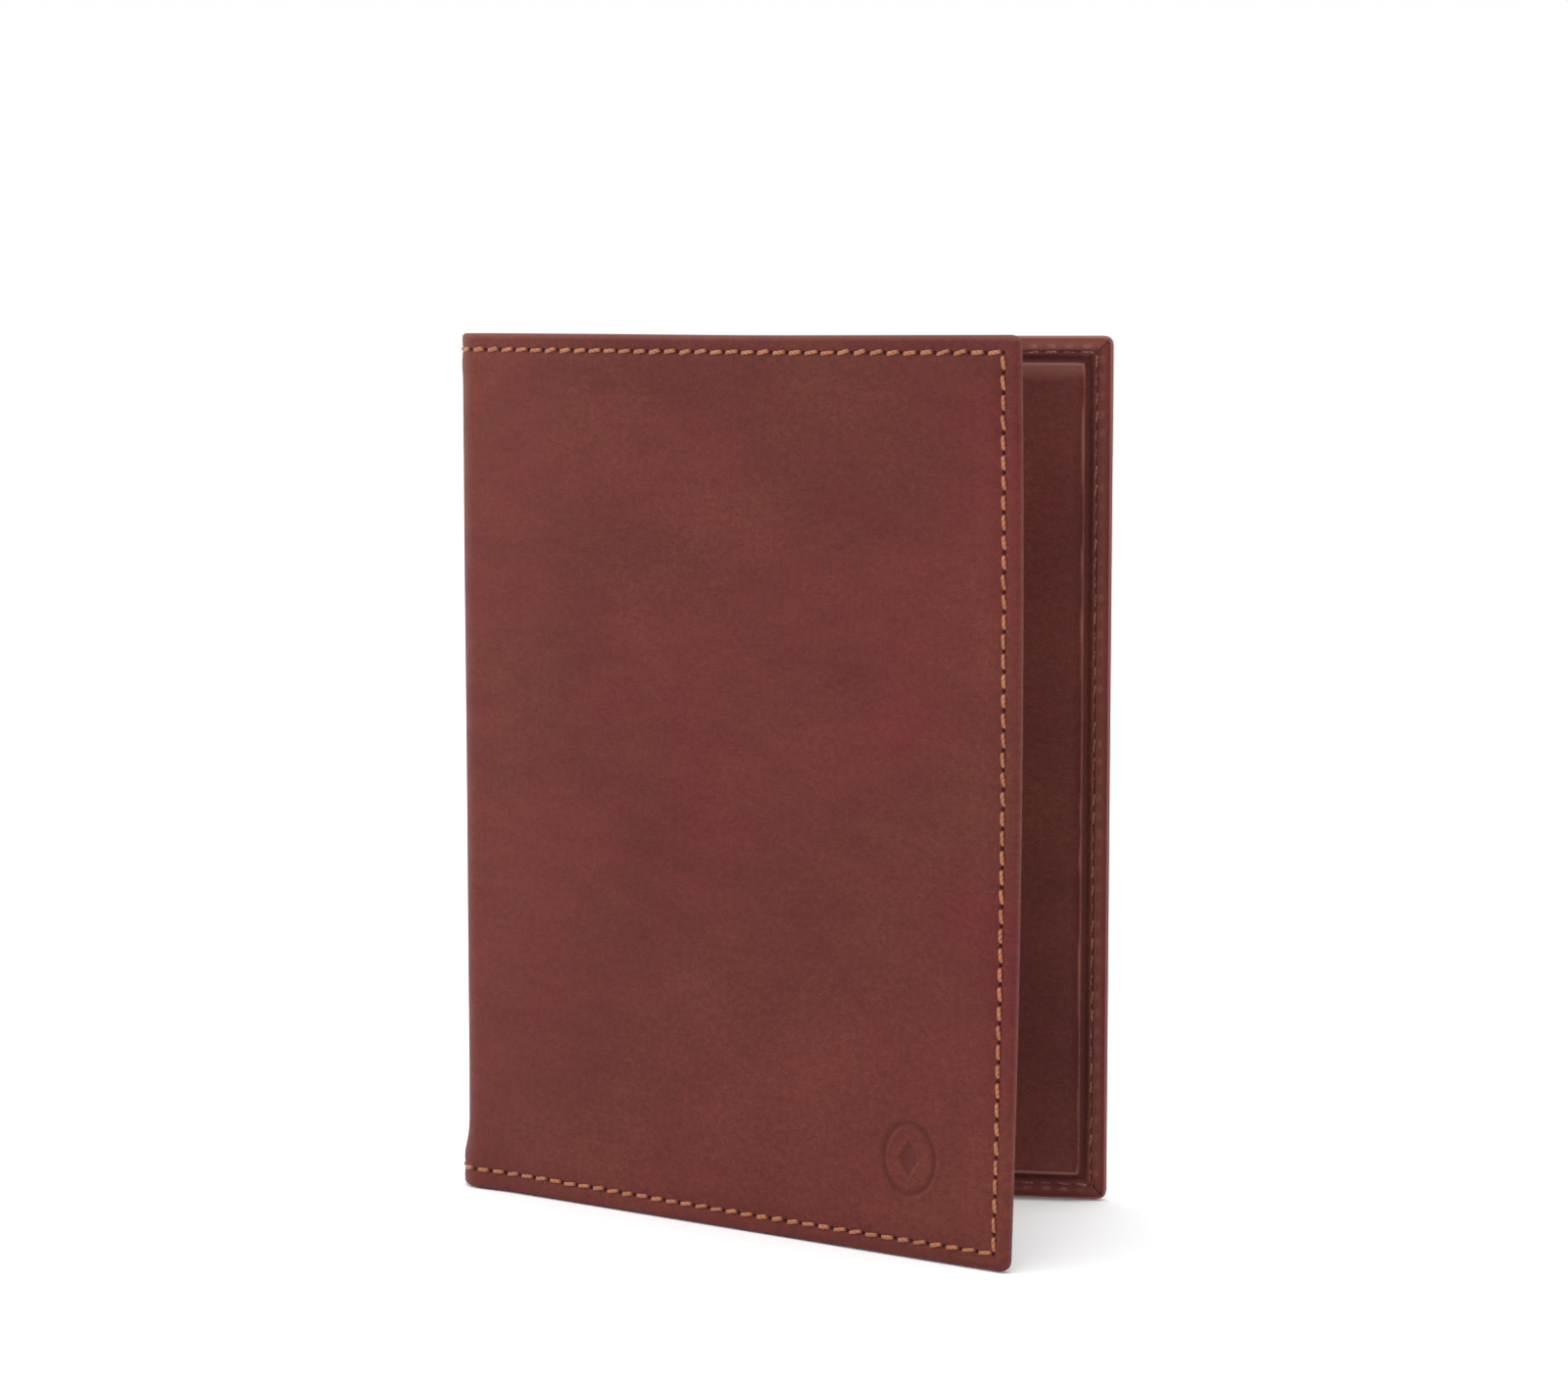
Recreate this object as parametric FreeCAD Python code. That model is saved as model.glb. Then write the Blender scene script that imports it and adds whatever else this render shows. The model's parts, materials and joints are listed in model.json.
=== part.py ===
import FreeCAD, Part
import math
import os

from FreeCAD import Vector

# Bifold leather passport holder, standing ajar on its lower edges.
# Millimetres, +Z up. The back cover lies along +X with its outer face towards +Y.
# The spine is at -X, and the front cover swings out towards -Y.
#
# Every cover is drawn flat in its own axes and then placed:
#   u  along the cover, from its fold line towards its free edge
#   n  depth, 0 on the outer face and growing towards the inside of the holder
#   z  height above the lower edge

# ---- driving dimensions ----
HEIGHT = 140.0            # lower edge to upper edge
SHUT_WIDTH = 104.5        # spine to free edge with the holder shut
AJAR_ANGLE = 24.5         # between the two covers as it stands
FOLD_RADIUS = 4.0         # outer radius of each of the two folds at the spine
CORNER_RADIUS = 2.0       # free corners of the covers
SHUT_GAP = 0.5            # left between the two insides with the holder shut

LEATHER = 0.9             # outer leather
BOARD = 0.5               # stiffener in each cover
HEM = 0.5                 # outer leather where it is skived and turned in
HEM_WIDTH = 9.0           # how far it is turned in
EDGE_WALL = 0.8           # leather round the rim of the board
LINING = 0.2              # woven lining on the inside of the boards
EDGE_ROUND = 0.45         # rounding along the turned edges

INNER_LEATHER = 0.7       # pocket leather
INNER_INSET = 1.7         # from a cover's edge to the edge of the pocket leather
FLANGE_INSET = 4.3        # from a cover's edge to the raised field of the passport pocket
FIELD_RISE = 0.9          # height of that field, the depth of the pocket behind it
PASSPORT_MOUTH = 12.0     # u of the passport pocket's mouth
FACING_WIDTH = 7.0        # strip behind the passport pocket's mouth
FACING = 0.3

DOCUMENT_MOUTH = 10.5     # u of the document pocket's mouth, on the front cover
BACKING = 0.2             # fabric behind the card pockets
CARD_MOUTHS = (74.0, 60.0, 46.0)   # heights of the three card mouths
CARD_OVERLAP = 3.0        # how far a card pocket runs on below the next mouth
CARD_DEPTH = 45.0         # from a card's mouth to the seam that it stands on
CARD_LIP = 0.95           # how far each mouth stands above the pocket's lower end
TAIL = 0.15               # fabric tail that each card pocket's leather is sewn to

SEAM_INSET = 2.6          # from a cover's edge to the middle of the perimeter seam
GROOVE_WIDTH = 0.8        # the seam lies in a shallow groove in the outer leather
GROOVE_DEPTH = 0.25
THREAD_WIDTH = 0.6
THREAD_HEIGHT = 0.22
STITCH_LENGTH = 2.1       # thread that shows between two needle holes
STITCHES_ALONG = 35       # in the upper or lower row of a cover, from fold to corner
STITCHES_UP = 46          # in the row beside a free edge
SPINE_STITCHES = 2        # in each row between the two fold lines
MOUTH_SEAM_INSET = 2.0    # from a pocket's mouth to the row of stitches beside it
MOUTH_STITCHES = 45

FOLD_GAP = 0.08           # clearance on each side of a fold line
SHUT_BEND = 90.0          # bend at each fold with the holder shut

# ---- worked out from those ----
BEND = (180.0 - AJAR_ANGLE) / 2                 # bend at each fold as it stands
HALF_BEND = math.radians(BEND / 2)
FOLD_DEPTH = FOLD_RADIUS * (1 - math.cos(HALF_BEND))   # n of the fold line
FOLD_RUN = FOLD_RADIUS * math.sin(HALF_BEND)           # u where the flat of a cover begins
FREE_EDGE = SHUT_WIDTH - FOLD_DEPTH                    # u of the free edge
HEM_INSIDE = LEATHER + BOARD                           # n of the hem's hidden face
EDGE_THICKNESS = HEM_INSIDE + HEM                      # a cover's thickness at its rim
FIELD_TOP = EDGE_THICKNESS + FIELD_RISE + INNER_LEATHER
CARD_BASE = EDGE_THICKNESS + BACKING + 2 * TAIL        # n of a card pocket's lower end
CARD_TOP = CARD_BASE + CARD_LIP + INNER_LEATHER
SHUT_THICKNESS = FIELD_TOP + CARD_TOP + SHUT_GAP
SPINE_SPAN = SHUT_THICKNESS - 2 * FOLD_DEPTH           # between the two fold lines
FAR = 30.0                                             # longer than any cut needs
ALONG_PITCH = (FREE_EDGE - SEAM_INSET - FOLD_RUN + FOLD_RADIUS * HALF_BEND) / STITCHES_ALONG
UP_PITCH = (HEIGHT - 2 * SEAM_INSET) / STITCHES_UP


# ---- shapes in a cover's own axes ----

def block(u0, u1, n0, n1, z0, z1):
    return Part.makeBox(u1 - u0, n1 - n0, z1 - z0, Vector(u0, n0, z0))


def prism(corners, z0, z1):
    """A closed outline of (u, n) corners, raised from z0 to z1."""
    points = [Vector(u, n, z0) for u, n in corners]
    face = Part.Face(Part.makePolygon(points + points[:1]))
    return face.extrude(Vector(0, 0, z1 - z0))


def ring_sector(n0, n1, z0, z1):
    """The bend that runs on from the flat of a cover at FOLD_RUN, between depths n0 and n1."""
    centre = Vector(FOLD_RUN, FOLD_RADIUS, z0)
    up = Vector(0, 0, 1)
    outer = Part.makeCylinder(FOLD_RADIUS - n0, z1 - z0, centre, up)
    inner = Part.makeCylinder(FOLD_RADIUS - n1, z1 - z0, centre, up)
    quarter = block(FOLD_RUN - FOLD_RADIUS, FOLD_RUN, n0, FOLD_RADIUS, z0, z1)
    return outer.cut(inner).common(quarter)


def fold_side(z0, z1):
    """What lies on a cover's side of its fold line, when the fold is bent square."""
    lean = math.tan(math.radians(SHUT_BEND / 2))
    corners = [
        (FOLD_GAP - FAR * lean, FOLD_DEPTH - FAR),
        (FOLD_GAP + FAR * lean, FOLD_DEPTH + FAR),
        (FREE_EDGE + FAR, FOLD_DEPTH + FAR),
        (FREE_EDGE + FAR, FOLD_DEPTH - FAR),
    ]
    return prism(corners, z0, z1)


def cover_band(n0, n1, z0, z1, u_end=FREE_EDGE):
    """A layer between two depths, from the fold line round the bend and along to u_end."""
    flat = block(FOLD_RUN, u_end, n0, n1, z0, z1)
    return flat.fuse(ring_sector(n0, n1, z0, z1)).common(fold_side(z0, z1))


def spine_band(n0, n1, z0, z1):
    """A layer of the spine between two depths, from one fold line to the other."""
    near = cover_band(n0, n1, z0, z1, SPINE_SPAN / 2)
    middle = Vector(SPINE_SPAN / 2, 0, 0)
    return near.fuse(near.mirror(middle, Vector(1, 0, 0))).removeSplitter()


def rounded_plate(u0, u1, n0, n1, z0, z1, radius):
    """A plate whose two corners at u1 are rounded in elevation."""
    plate = block(u0, u1, n0, n1, z0, z1)
    corners = [e for e in plate.Edges
               if all(abs(v.X - u1) < 1e-6 for v in e.Vertexes)
               and abs(e.Vertexes[0].Y - e.Vertexes[1].Y) > 1e-6]
    return plate.makeFillet(radius, corners)


def end_rows(inset, width):
    """The z ranges of a strip of this width along the lower and the upper edge."""
    low = inset - width / 2
    return ((low, low + width), (HEIGHT - low - width, HEIGHT - low))


# ---- placing a cover's pieces in the standing holder ----

BACK_FOLD = Vector(0, 0, 0)
SPINE_TURN = 180.0 + BEND
FRONT_FOLD = Vector(SPINE_SPAN * math.cos(math.radians(SPINE_TURN)),
                    SPINE_SPAN * math.sin(math.radians(SPINE_TURN)), 0)
UP = Vector(0, 0, 1)


def turned(shape, degrees, fold):
    placed = shape.copy()
    placed.translate(Vector(0, -FOLD_DEPTH, 0))
    placed.rotate(Vector(0, 0, 0), UP, degrees)
    placed.translate(fold)
    return placed


def on_back(shape):
    placed = shape.mirror(Vector(0, 0, 0), Vector(0, 1, 0))
    placed.translate(Vector(0, FOLD_DEPTH, 0))
    return placed


def on_spine(shape):
    return turned(shape, SPINE_TURN, BACK_FOLD)


def on_front(shape):
    return turned(shape, -AJAR_ANGLE, FRONT_FOLD)


# ---- outer leather ----

def hem_rows():
    return ((0, HEM_WIDTH), (HEIGHT - HEM_WIDTH, HEIGHT))


def rim_rows():
    return ((0, EDGE_WALL), (HEIGHT - EDGE_WALL, HEIGHT))


def with_end_hems(sheet, band):
    """Turns the sheet's upper and lower edges in over the board."""
    for z0, z1 in hem_rows():
        sheet = sheet.fuse(band(HEM_INSIDE, EDGE_THICKNESS, z0, z1))
    for z0, z1 in rim_rows():
        sheet = sheet.fuse(band(0, EDGE_THICKNESS, z0, z1))
    for z0, z1 in end_rows(SEAM_INSET, GROOVE_WIDTH):
        sheet = sheet.cut(band(0, GROOVE_DEPTH, z0, z1))
    return sheet


def cover_leather():
    """One cover's half of the outer leather, turned in on three sides, with its seam groove."""
    sheet = with_end_hems(cover_band(0, LEATHER, 0, HEIGHT), cover_band)
    sheet = sheet.fuse(block(FREE_EDGE - HEM_WIDTH, FREE_EDGE, HEM_INSIDE, EDGE_THICKNESS, 0, HEIGHT))
    sheet = sheet.fuse(block(FREE_EDGE - EDGE_WALL, FREE_EDGE, 0, EDGE_THICKNESS, 0, HEIGHT))
    half = GROOVE_WIDTH / 2
    seam = FREE_EDGE - SEAM_INSET
    sheet = sheet.cut(block(seam - half, seam + half, 0, GROOVE_DEPTH,
                            SEAM_INSET - half, HEIGHT - SEAM_INSET + half))
    for z0, z1 in end_rows(SEAM_INSET, GROOVE_WIDTH):
        past_corner = block(seam + half, FREE_EDGE, 0, GROOVE_DEPTH, z0, z1)
        sheet = sheet.fuse(past_corner)
    outline = rounded_plate(-FAR, FREE_EDGE, -1, EDGE_THICKNESS + 1, 0, HEIGHT, CORNER_RADIUS)
    sheet = sheet.common(outline).removeSplitter()
    return sheet.makeFillet(EDGE_ROUND, rim_edges(sheet))


def rim_edges(sheet):
    """The edges that run round the free side of a cover, on its outer face and on its hem."""
    found = []
    for edge in sheet.Edges:
        box = edge.BoundBox
        on_face = box.YLength < 1e-6 and min(abs(box.YMin), abs(box.YMin - EDGE_THICKNESS)) < 1e-6
        at_end = box.ZMax < CORNER_RADIUS + 1e-6 or box.ZMin > HEIGHT - CORNER_RADIUS - 1e-6
        at_rim = box.ZMin < 1e-6 or box.ZMax > HEIGHT - 1e-6 or box.XMin > FREE_EDGE - 1e-6
        if on_face and at_rim and box.XMin > FOLD_RUN - 1e-6 and (at_end or box.XMin > FREE_EDGE - 1e-6):
            found.append(edge)
    return found


def spine_leather():
    return with_end_hems(spine_band(0, LEATHER, 0, HEIGHT), spine_band).removeSplitter()


# ---- stiffening and lining ----

def cover_board():
    return rounded_plate(FOLD_RUN + 0.2, FREE_EDGE - EDGE_WALL, LEATHER, HEM_INSIDE,
                         EDGE_WALL, HEIGHT - EDGE_WALL, CORNER_RADIUS - EDGE_WALL)


def spine_stay():
    return spine_band(LEATHER, HEM_INSIDE, EDGE_WALL, HEIGHT - EDGE_WALL)


def cover_lining():
    return cover_band(HEM_INSIDE, HEM_INSIDE + LINING, HEM_WIDTH, HEIGHT - HEM_WIDTH,
                      FREE_EDGE - HEM_WIDTH)


def spine_lining():
    return spine_band(HEM_INSIDE, HEM_INSIDE + LINING, HEM_WIDTH, HEIGHT - HEM_WIDTH)


# ---- passport pocket, on the back cover ----

def passport_panel():
    """Pocket leather sewn down by its flange, with a field pressed up to make the pocket."""
    low, high = EDGE_THICKNESS, EDGE_THICKNESS + INNER_LEATHER
    flange = rounded_plate(PASSPORT_MOUTH, FREE_EDGE - INNER_INSET, low, high,
                           INNER_INSET, HEIGHT - INNER_INSET, 1.0)
    field = rounded_plate(PASSPORT_MOUTH, FREE_EDGE - FLANGE_INSET, low, FIELD_TOP,
                          FLANGE_INSET, HEIGHT - FLANGE_INSET, 1.5)
    top = [e for e in field.Edges
           if e.BoundBox.YLength < 1e-6 and abs(e.BoundBox.YMin - FIELD_TOP) < 1e-6
           and e.BoundBox.XMax > PASSPORT_MOUTH + 1e-6]
    field = field.makeFillet(0.4, top)
    wall = FLANGE_INSET + INNER_LEATHER
    pocket = rounded_plate(PASSPORT_MOUTH - 1, FREE_EDGE - wall, low, FIELD_TOP - INNER_LEATHER,
                           wall, HEIGHT - wall, 0.8)
    return flange.fuse(field).cut(pocket).removeSplitter()


def passport_facing():
    """Strip glued and sewn behind the mouth of the passport pocket."""
    inside = FIELD_TOP - INNER_LEATHER
    wall = FLANGE_INSET + INNER_LEATHER
    return block(PASSPORT_MOUTH, PASSPORT_MOUTH + FACING_WIDTH, inside - FACING, inside,
                 wall + 0.3, HEIGHT - wall - 0.3)


# ---- document and card pockets, on the front cover ----

INNER_END = FREE_EDGE - INNER_INSET


def pocket_backing():
    """Fabric behind the card pockets; the document pocket is between it and the lining."""
    return rounded_plate(DOCUMENT_MOUTH, INNER_END, EDGE_THICKNESS, EDGE_THICKNESS + BACKING,
                         INNER_INSET, HEIGHT - INNER_INSET, 1.0)


def upper_panel():
    low = EDGE_THICKNESS + BACKING
    return block(DOCUMENT_MOUTH, INNER_END, low, low + INNER_LEATHER,
                 CARD_MOUTHS[0] - CARD_OVERLAP, HEIGHT - INNER_INSET)


def card_lean(step):
    """Rise per millimetre of a card pocket, which leans out over the one below it."""
    return CARD_LIP / (step + CARD_OVERLAP)


def card_pocket(index):
    """Leather of one card pocket: it leans out to its mouth, and the last runs to the lower edge."""
    step = CARD_MOUTHS[0] - CARD_MOUTHS[1]
    mouth = CARD_MOUTHS[index]
    foot = mouth - step - CARD_OVERLAP
    profile = [(CARD_BASE, foot), (CARD_BASE + CARD_LIP, mouth),
               (CARD_BASE + CARD_LIP + INNER_LEATHER, mouth), (CARD_BASE + INNER_LEATHER, foot)]
    if index == len(CARD_MOUTHS) - 1:
        profile += [(CARD_BASE + INNER_LEATHER, INNER_INSET), (CARD_BASE, INNER_INSET)]
    points = [Vector(DOCUMENT_MOUTH, n, z) for n, z in profile]
    face = Part.Face(Part.makePolygon(points + points[:1]))
    return face.extrude(Vector(INNER_END - DOCUMENT_MOUTH, 0, 0))


def card_tail(index):
    """Fabric sewn to the foot of a card pocket's leather, down to the seam the card stands on."""
    step = CARD_MOUTHS[0] - CARD_MOUTHS[1]
    foot = CARD_MOUTHS[index] - step - CARD_OVERLAP
    low = EDGE_THICKNESS + BACKING + index * TAIL
    return block(DOCUMENT_MOUTH, INNER_END, low, low + TAIL, CARD_MOUTHS[index] - CARD_DEPTH, foot)


def front_inside_level(z):
    """n of the pocket leather that shows on the front cover's inside at height z."""
    step = CARD_MOUTHS[0] - CARD_MOUTHS[1]
    if z > CARD_MOUTHS[0]:
        return EDGE_THICKNESS + BACKING + INNER_LEATHER
    for mouth in CARD_MOUTHS:
        if mouth >= z > mouth - step:
            return CARD_BASE + INNER_LEATHER + CARD_LIP - (mouth - z) * card_lean(step)
    foot = CARD_MOUTHS[-1] - step - CARD_OVERLAP
    return CARD_BASE + INNER_LEATHER + max(0.0, (z - foot) * card_lean(step))


# ---- stitches ----

def stitch(middle, along, outward, length=STITCH_LENGTH):
    """One stitch: a flat-backed bead of thread that lies on the leather."""
    side = along.cross(outward)
    start = middle - along * (length / 2)
    left = start - side * (THREAD_WIDTH / 2)
    right = start + side * (THREAD_WIDTH / 2)
    crown = start + outward * THREAD_HEIGHT
    outline = Part.Wire([Part.Arc(left, crown, right).toShape(), Part.makeLine(right, left)])
    return Part.Face(outline).extrude(along * length)


OUT = Vector(0, -1, 0)
IN = Vector(0, 1, 0)
ALONG = Vector(1, 0, 0)
SEAM_ROWS = (SEAM_INSET, HEIGHT - SEAM_INSET)


def outer_stitch_at(s, z):
    """A stitch in the groove of the outer leather, s along the surface from the fold line."""
    arc = FOLD_RADIUS * HALF_BEND
    floor = FOLD_RADIUS - GROOVE_DEPTH
    angle = max(0.0, (arc - s) / FOLD_RADIUS)
    outward = Vector(-math.sin(angle), -math.cos(angle), 0)
    along = Vector(math.cos(angle), -math.sin(angle), 0)
    centre = Vector(FOLD_RUN + max(0.0, s - arc), FOLD_RADIUS, z)
    return stitch(centre + outward * floor, along, outward)


def cover_outer_stitches():
    found = [outer_stitch_at((i + 0.5) * ALONG_PITCH, z)
             for z in SEAM_ROWS for i in range(STITCHES_ALONG)]
    for i in range(STITCHES_UP):
        z = SEAM_INSET + (i + 0.5) * UP_PITCH
        middle = Vector(FREE_EDGE - SEAM_INSET, GROOVE_DEPTH, z)
        found.append(stitch(middle, UP, OUT))
    return Part.makeCompound(found)


def spine_outer_stitches():
    """Two stitches in each row between the fold lines, one on each bend."""
    middle = Vector(SPINE_SPAN / 2, 0, 0)
    arc = FOLD_RADIUS * HALF_BEND
    found = []
    for z in SEAM_ROWS:
        one = outer_stitch_at(arc / 2 + 0.3, z)
        found += [one, one.mirror(middle, ALONG)]
    return Part.makeCompound(found)


def inner_stitches(level, mouth):
    """Perimeter stitches on a cover's pocket leather, whose surface at height z is level(z)."""
    found = []
    end = FREE_EDGE - SEAM_INSET
    for z in SEAM_ROWS:
        for i in range(STITCHES_ALONG):
            u = end - (i + 0.5) * ALONG_PITCH
            n = level(z) if u > mouth + STITCH_LENGTH / 2 else EDGE_THICKNESS
            on_step = abs(u - mouth) < STITCH_LENGTH / 2
            if u > FOLD_RUN + STITCH_LENGTH / 2 and not on_step:
                found.append(stitch(Vector(u, n, z), ALONG, IN))
    found += upright_row(end, level, STITCHES_UP, SEAM_INSET)
    return Part.makeCompound(found)


def upright_row(u, level, count, inset):
    """A row of stitches up the leather at u. Each lies along the slope it is sewn to."""
    pitch = (HEIGHT - 2 * inset) / count
    found = []
    for i in range(count):
        z = inset + (i + 0.5) * pitch
        foot, head = z - STITCH_LENGTH / 2, z + STITCH_LENGTH / 2
        crosses_mouth = any(foot < mouth < head for mouth in CARD_MOUTHS)
        low, high = Vector(u, level(foot), foot), Vector(u, level(head), head)
        if crosses_mouth and abs(low.y - high.y) > 0.3:
            continue
        along = (high - low).normalize()
        outward = Vector(0, along.z, -along.y)
        found.append(stitch((low + high) * 0.5 + outward * 0.02, along, outward))
    return found


def flange_level(z):
    return EDGE_THICKNESS + INNER_LEATHER


def field_level(z):
    return FIELD_TOP


def passport_mouth_stitches():
    row = upright_row(PASSPORT_MOUTH + MOUTH_SEAM_INSET, field_level, MOUTH_STITCHES, FLANGE_INSET + 1.2)
    return Part.makeCompound(row)


def card_side_stitches():
    row = upright_row(DOCUMENT_MOUTH + MOUTH_SEAM_INSET, front_inside_level, MOUTH_STITCHES, SEAM_INSET)
    return Part.makeCompound(row)


# ---- the whole holder ----

def holder():
    """Every node by name, placed, before the origin is moved to the middle of the base."""
    nodes = {
        "back_outer_leather": on_back(cover_leather()),
        "back_board": on_back(cover_board()),
        "back_lining": on_back(cover_lining()),
        "passport_pocket_panel": on_back(passport_panel()),
        "passport_pocket_facing": on_back(passport_facing()),
        "passport_mouth_stitches": on_back(passport_mouth_stitches()),
        "back_outer_stitches": on_back(cover_outer_stitches()),
        "back_inner_stitches": on_back(inner_stitches(flange_level, PASSPORT_MOUTH)),
        "spine_outer_leather": on_spine(spine_leather()),
        "spine_stay": on_spine(spine_stay()),
        "spine_lining": on_spine(spine_lining()),
        "spine_outer_stitches": on_spine(spine_outer_stitches()),
        "front_outer_leather": on_front(cover_leather()),
        "front_board": on_front(cover_board()),
        "front_lining": on_front(cover_lining()),
        "document_pocket_backing": on_front(pocket_backing()),
        "front_upper_panel": on_front(upper_panel()),
        "card_side_stitches": on_front(card_side_stitches()),
        "front_outer_stitches": on_front(cover_outer_stitches()),
        "front_inner_stitches": on_front(inner_stitches(front_inside_level, DOCUMENT_MOUTH)),
    }
    for index in range(len(CARD_MOUTHS)):
        nodes["card_pocket_%d" % (index + 1)] = on_front(card_pocket(index))
    for index in range(len(CARD_MOUTHS) - 1):
        nodes["card_pocket_tail_%d" % (index + 1)] = on_front(card_tail(index))
    return nodes


def base_middle(shapes):
    box = Part.makeCompound(shapes).optimalBoundingBox(False, False)
    return Vector((box.XMin + box.XMax) / 2, (box.YMin + box.YMax) / 2, box.ZMin)


def main():
    os.makedirs("parts", exist_ok=True)
    nodes = holder()
    origin = base_middle(list(nodes.values()))
    for name, shape in nodes.items():
        shape.translate(-origin)
        shape.exportStep("parts/%s.step" % name)
        print("%-26s solids %3d  valid %s  volume %9.2f mm3"
              % (name, len(shape.Solids), shape.isValid(), shape.Volume))
    for name, fold in (("back_fold", BACK_FOLD), ("front_fold", FRONT_FOLD)):
        place = fold - origin
        print("%s axis at x %.4f y %.4f mm" % (name, place.x, place.y))
    print("bend %.2f, fold depth %.4f, fold run %.4f, free edge u %.4f, spine span %.4f, shut %.3f"
          % (BEND, FOLD_DEPTH, FOLD_RUN, FREE_EDGE, SPINE_SPAN, SHUT_THICKNESS))
    return nodes, origin


if __name__ == "__main__":
    main()
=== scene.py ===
import json
import math
import random

import bmesh
import bpy
from mathutils import Matrix, Vector


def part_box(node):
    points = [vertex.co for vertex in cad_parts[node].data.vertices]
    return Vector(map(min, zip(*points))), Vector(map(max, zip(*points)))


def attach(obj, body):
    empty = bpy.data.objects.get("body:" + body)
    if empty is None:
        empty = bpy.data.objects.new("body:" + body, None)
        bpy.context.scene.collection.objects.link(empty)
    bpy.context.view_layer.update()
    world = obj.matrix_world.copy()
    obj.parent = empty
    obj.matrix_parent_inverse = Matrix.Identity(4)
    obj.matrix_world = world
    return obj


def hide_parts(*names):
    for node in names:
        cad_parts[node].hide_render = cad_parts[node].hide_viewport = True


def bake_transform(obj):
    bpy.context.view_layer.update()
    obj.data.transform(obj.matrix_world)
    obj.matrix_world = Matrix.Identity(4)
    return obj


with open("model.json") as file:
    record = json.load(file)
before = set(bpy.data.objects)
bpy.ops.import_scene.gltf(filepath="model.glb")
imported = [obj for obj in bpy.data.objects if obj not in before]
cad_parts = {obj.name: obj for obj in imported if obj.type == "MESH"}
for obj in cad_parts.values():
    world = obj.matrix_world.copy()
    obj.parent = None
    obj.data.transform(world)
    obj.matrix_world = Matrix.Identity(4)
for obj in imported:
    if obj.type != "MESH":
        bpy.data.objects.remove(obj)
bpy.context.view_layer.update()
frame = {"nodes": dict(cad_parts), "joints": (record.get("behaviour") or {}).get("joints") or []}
bpy.ops.object.select_all(action="DESELECT")


# ---- Outer leather ----
# One sheet of red-brown cowhide goes round both covers and the spine. Its three free sides are
# skived thin, turned in over the boards with mitred corners, glued, and caught by the rim seam.
# It is made flat, as two equal halves that meet down the middle of the spine, and then stood up.

MM = 0.001
FOLD_RADIUS = 4.0 * MM         # outer radius of the bend at each fold
EDGE_THICKNESS = 1.9 * MM      # outer leather, board and turned-in leather together
EDGE_RADIUS = EDGE_THICKNESS / 2
TURN_RADIUS = 0.62 * MM        # of the turned edge's two arrises
RIM_THICKNESS = 1.74 * MM      # the skived rim is a little thinner than the rest
RIM_WALL = RIM_THICKNESS - 2 * TURN_RADIUS
SEAM_INSET = 2.6 * MM          # from the edge to the needle holes
HEM_WIDTH = 9.0 * MM           # how far the leather is turned in
LEATHER = 0.5 * MM             # thickness of the skived leather
CORNER = 1.45 * MM             # radius of the free corners
HALF_STITCHES = 36             # in the upper or lower row, from the corner to the middle of the spine
UPRIGHT_STITCHES = 46          # in the row beside a free edge
CELLS = 4                      # mesh cells for each stitch
PATTERN = "Pattern"            # UV map of the uncut sheet
PATTERN_UNIT = 100 * MM

joints = {j["name"]: Vector(j["pos_m"]) for j in frame["joints"]}
back_fold = joints["back_fold"]
front_fold = joints["front_fold"]
spine_run = Vector(front_fold - back_fold).to_2d()
spine_span = spine_run.length
bend = math.atan2(-spine_run.y, -spine_run.x)          # turn of the leather at each fold
fold_depth = FOLD_RADIUS * (1 - math.cos(bend / 2))
fold_run = FOLD_RADIUS * math.sin(bend / 2)
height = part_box("back_outer_leather")[1].z
free_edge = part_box("back_outer_leather")[1].x - back_fold.x
spine_flat = spine_span / 2 - fold_run                 # flat of the spine, in each half
bend_end = spine_flat + FOLD_RADIUS * bend             # where the flat of a cover begins
half_width = bend_end + free_edge - fold_run           # middle of the spine to the free edge
seam_corner = half_width - SEAM_INSET
stitch_pitch = seam_corner / HALF_STITCHES
upright_pitch = (height - 2 * SEAM_INSET) / UPRIGHT_STITCHES

SLACK_RUN = 70 * MM            # the sheet's small errors die out this far from the spine
SPINE_TALL = 0.45 * MM
SEAM_HIGH = 0.5 * MM           # of the lower seam beside the spine
SEAM_HIGH_FADE = 22 * MM
BOW = 1.02625 * MM             # of the front's free edge, at the share of its height below
BOW_UP = 0.625
BOW_FALL = 3.6 * MM


def share(value, start, end):
    """0 at start and 1 at end, in a straight line between them, and no further."""
    return min(max((value - start) / (end - start), 0), 1)


def ease(value, start, end):
    """The same with soft ends."""
    part = share(value, start, end)
    return part * part * (3 - 2 * part)


def slack(s, z, side):
    """Small errors of hand work: the sheet stands a little tall at the spine, where the lower seam
    also runs a little high, and the front's free edge bows outwards above its middle."""
    foot = share(z, 0, SEAM_INSET) * share(z, SEAM_INSET + SEAM_HIGH_FADE, SEAM_INSET)
    lift = ease(s, SLACK_RUN, 0) * (SPINE_TALL * z / height + SEAM_HIGH * foot)
    if side == "back":
        return s, z + lift
    bow = BOW - BOW_FALL * (z / height - BOW_UP) ** 2
    return s + bow * (s / half_width) ** 2, z + lift


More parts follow.
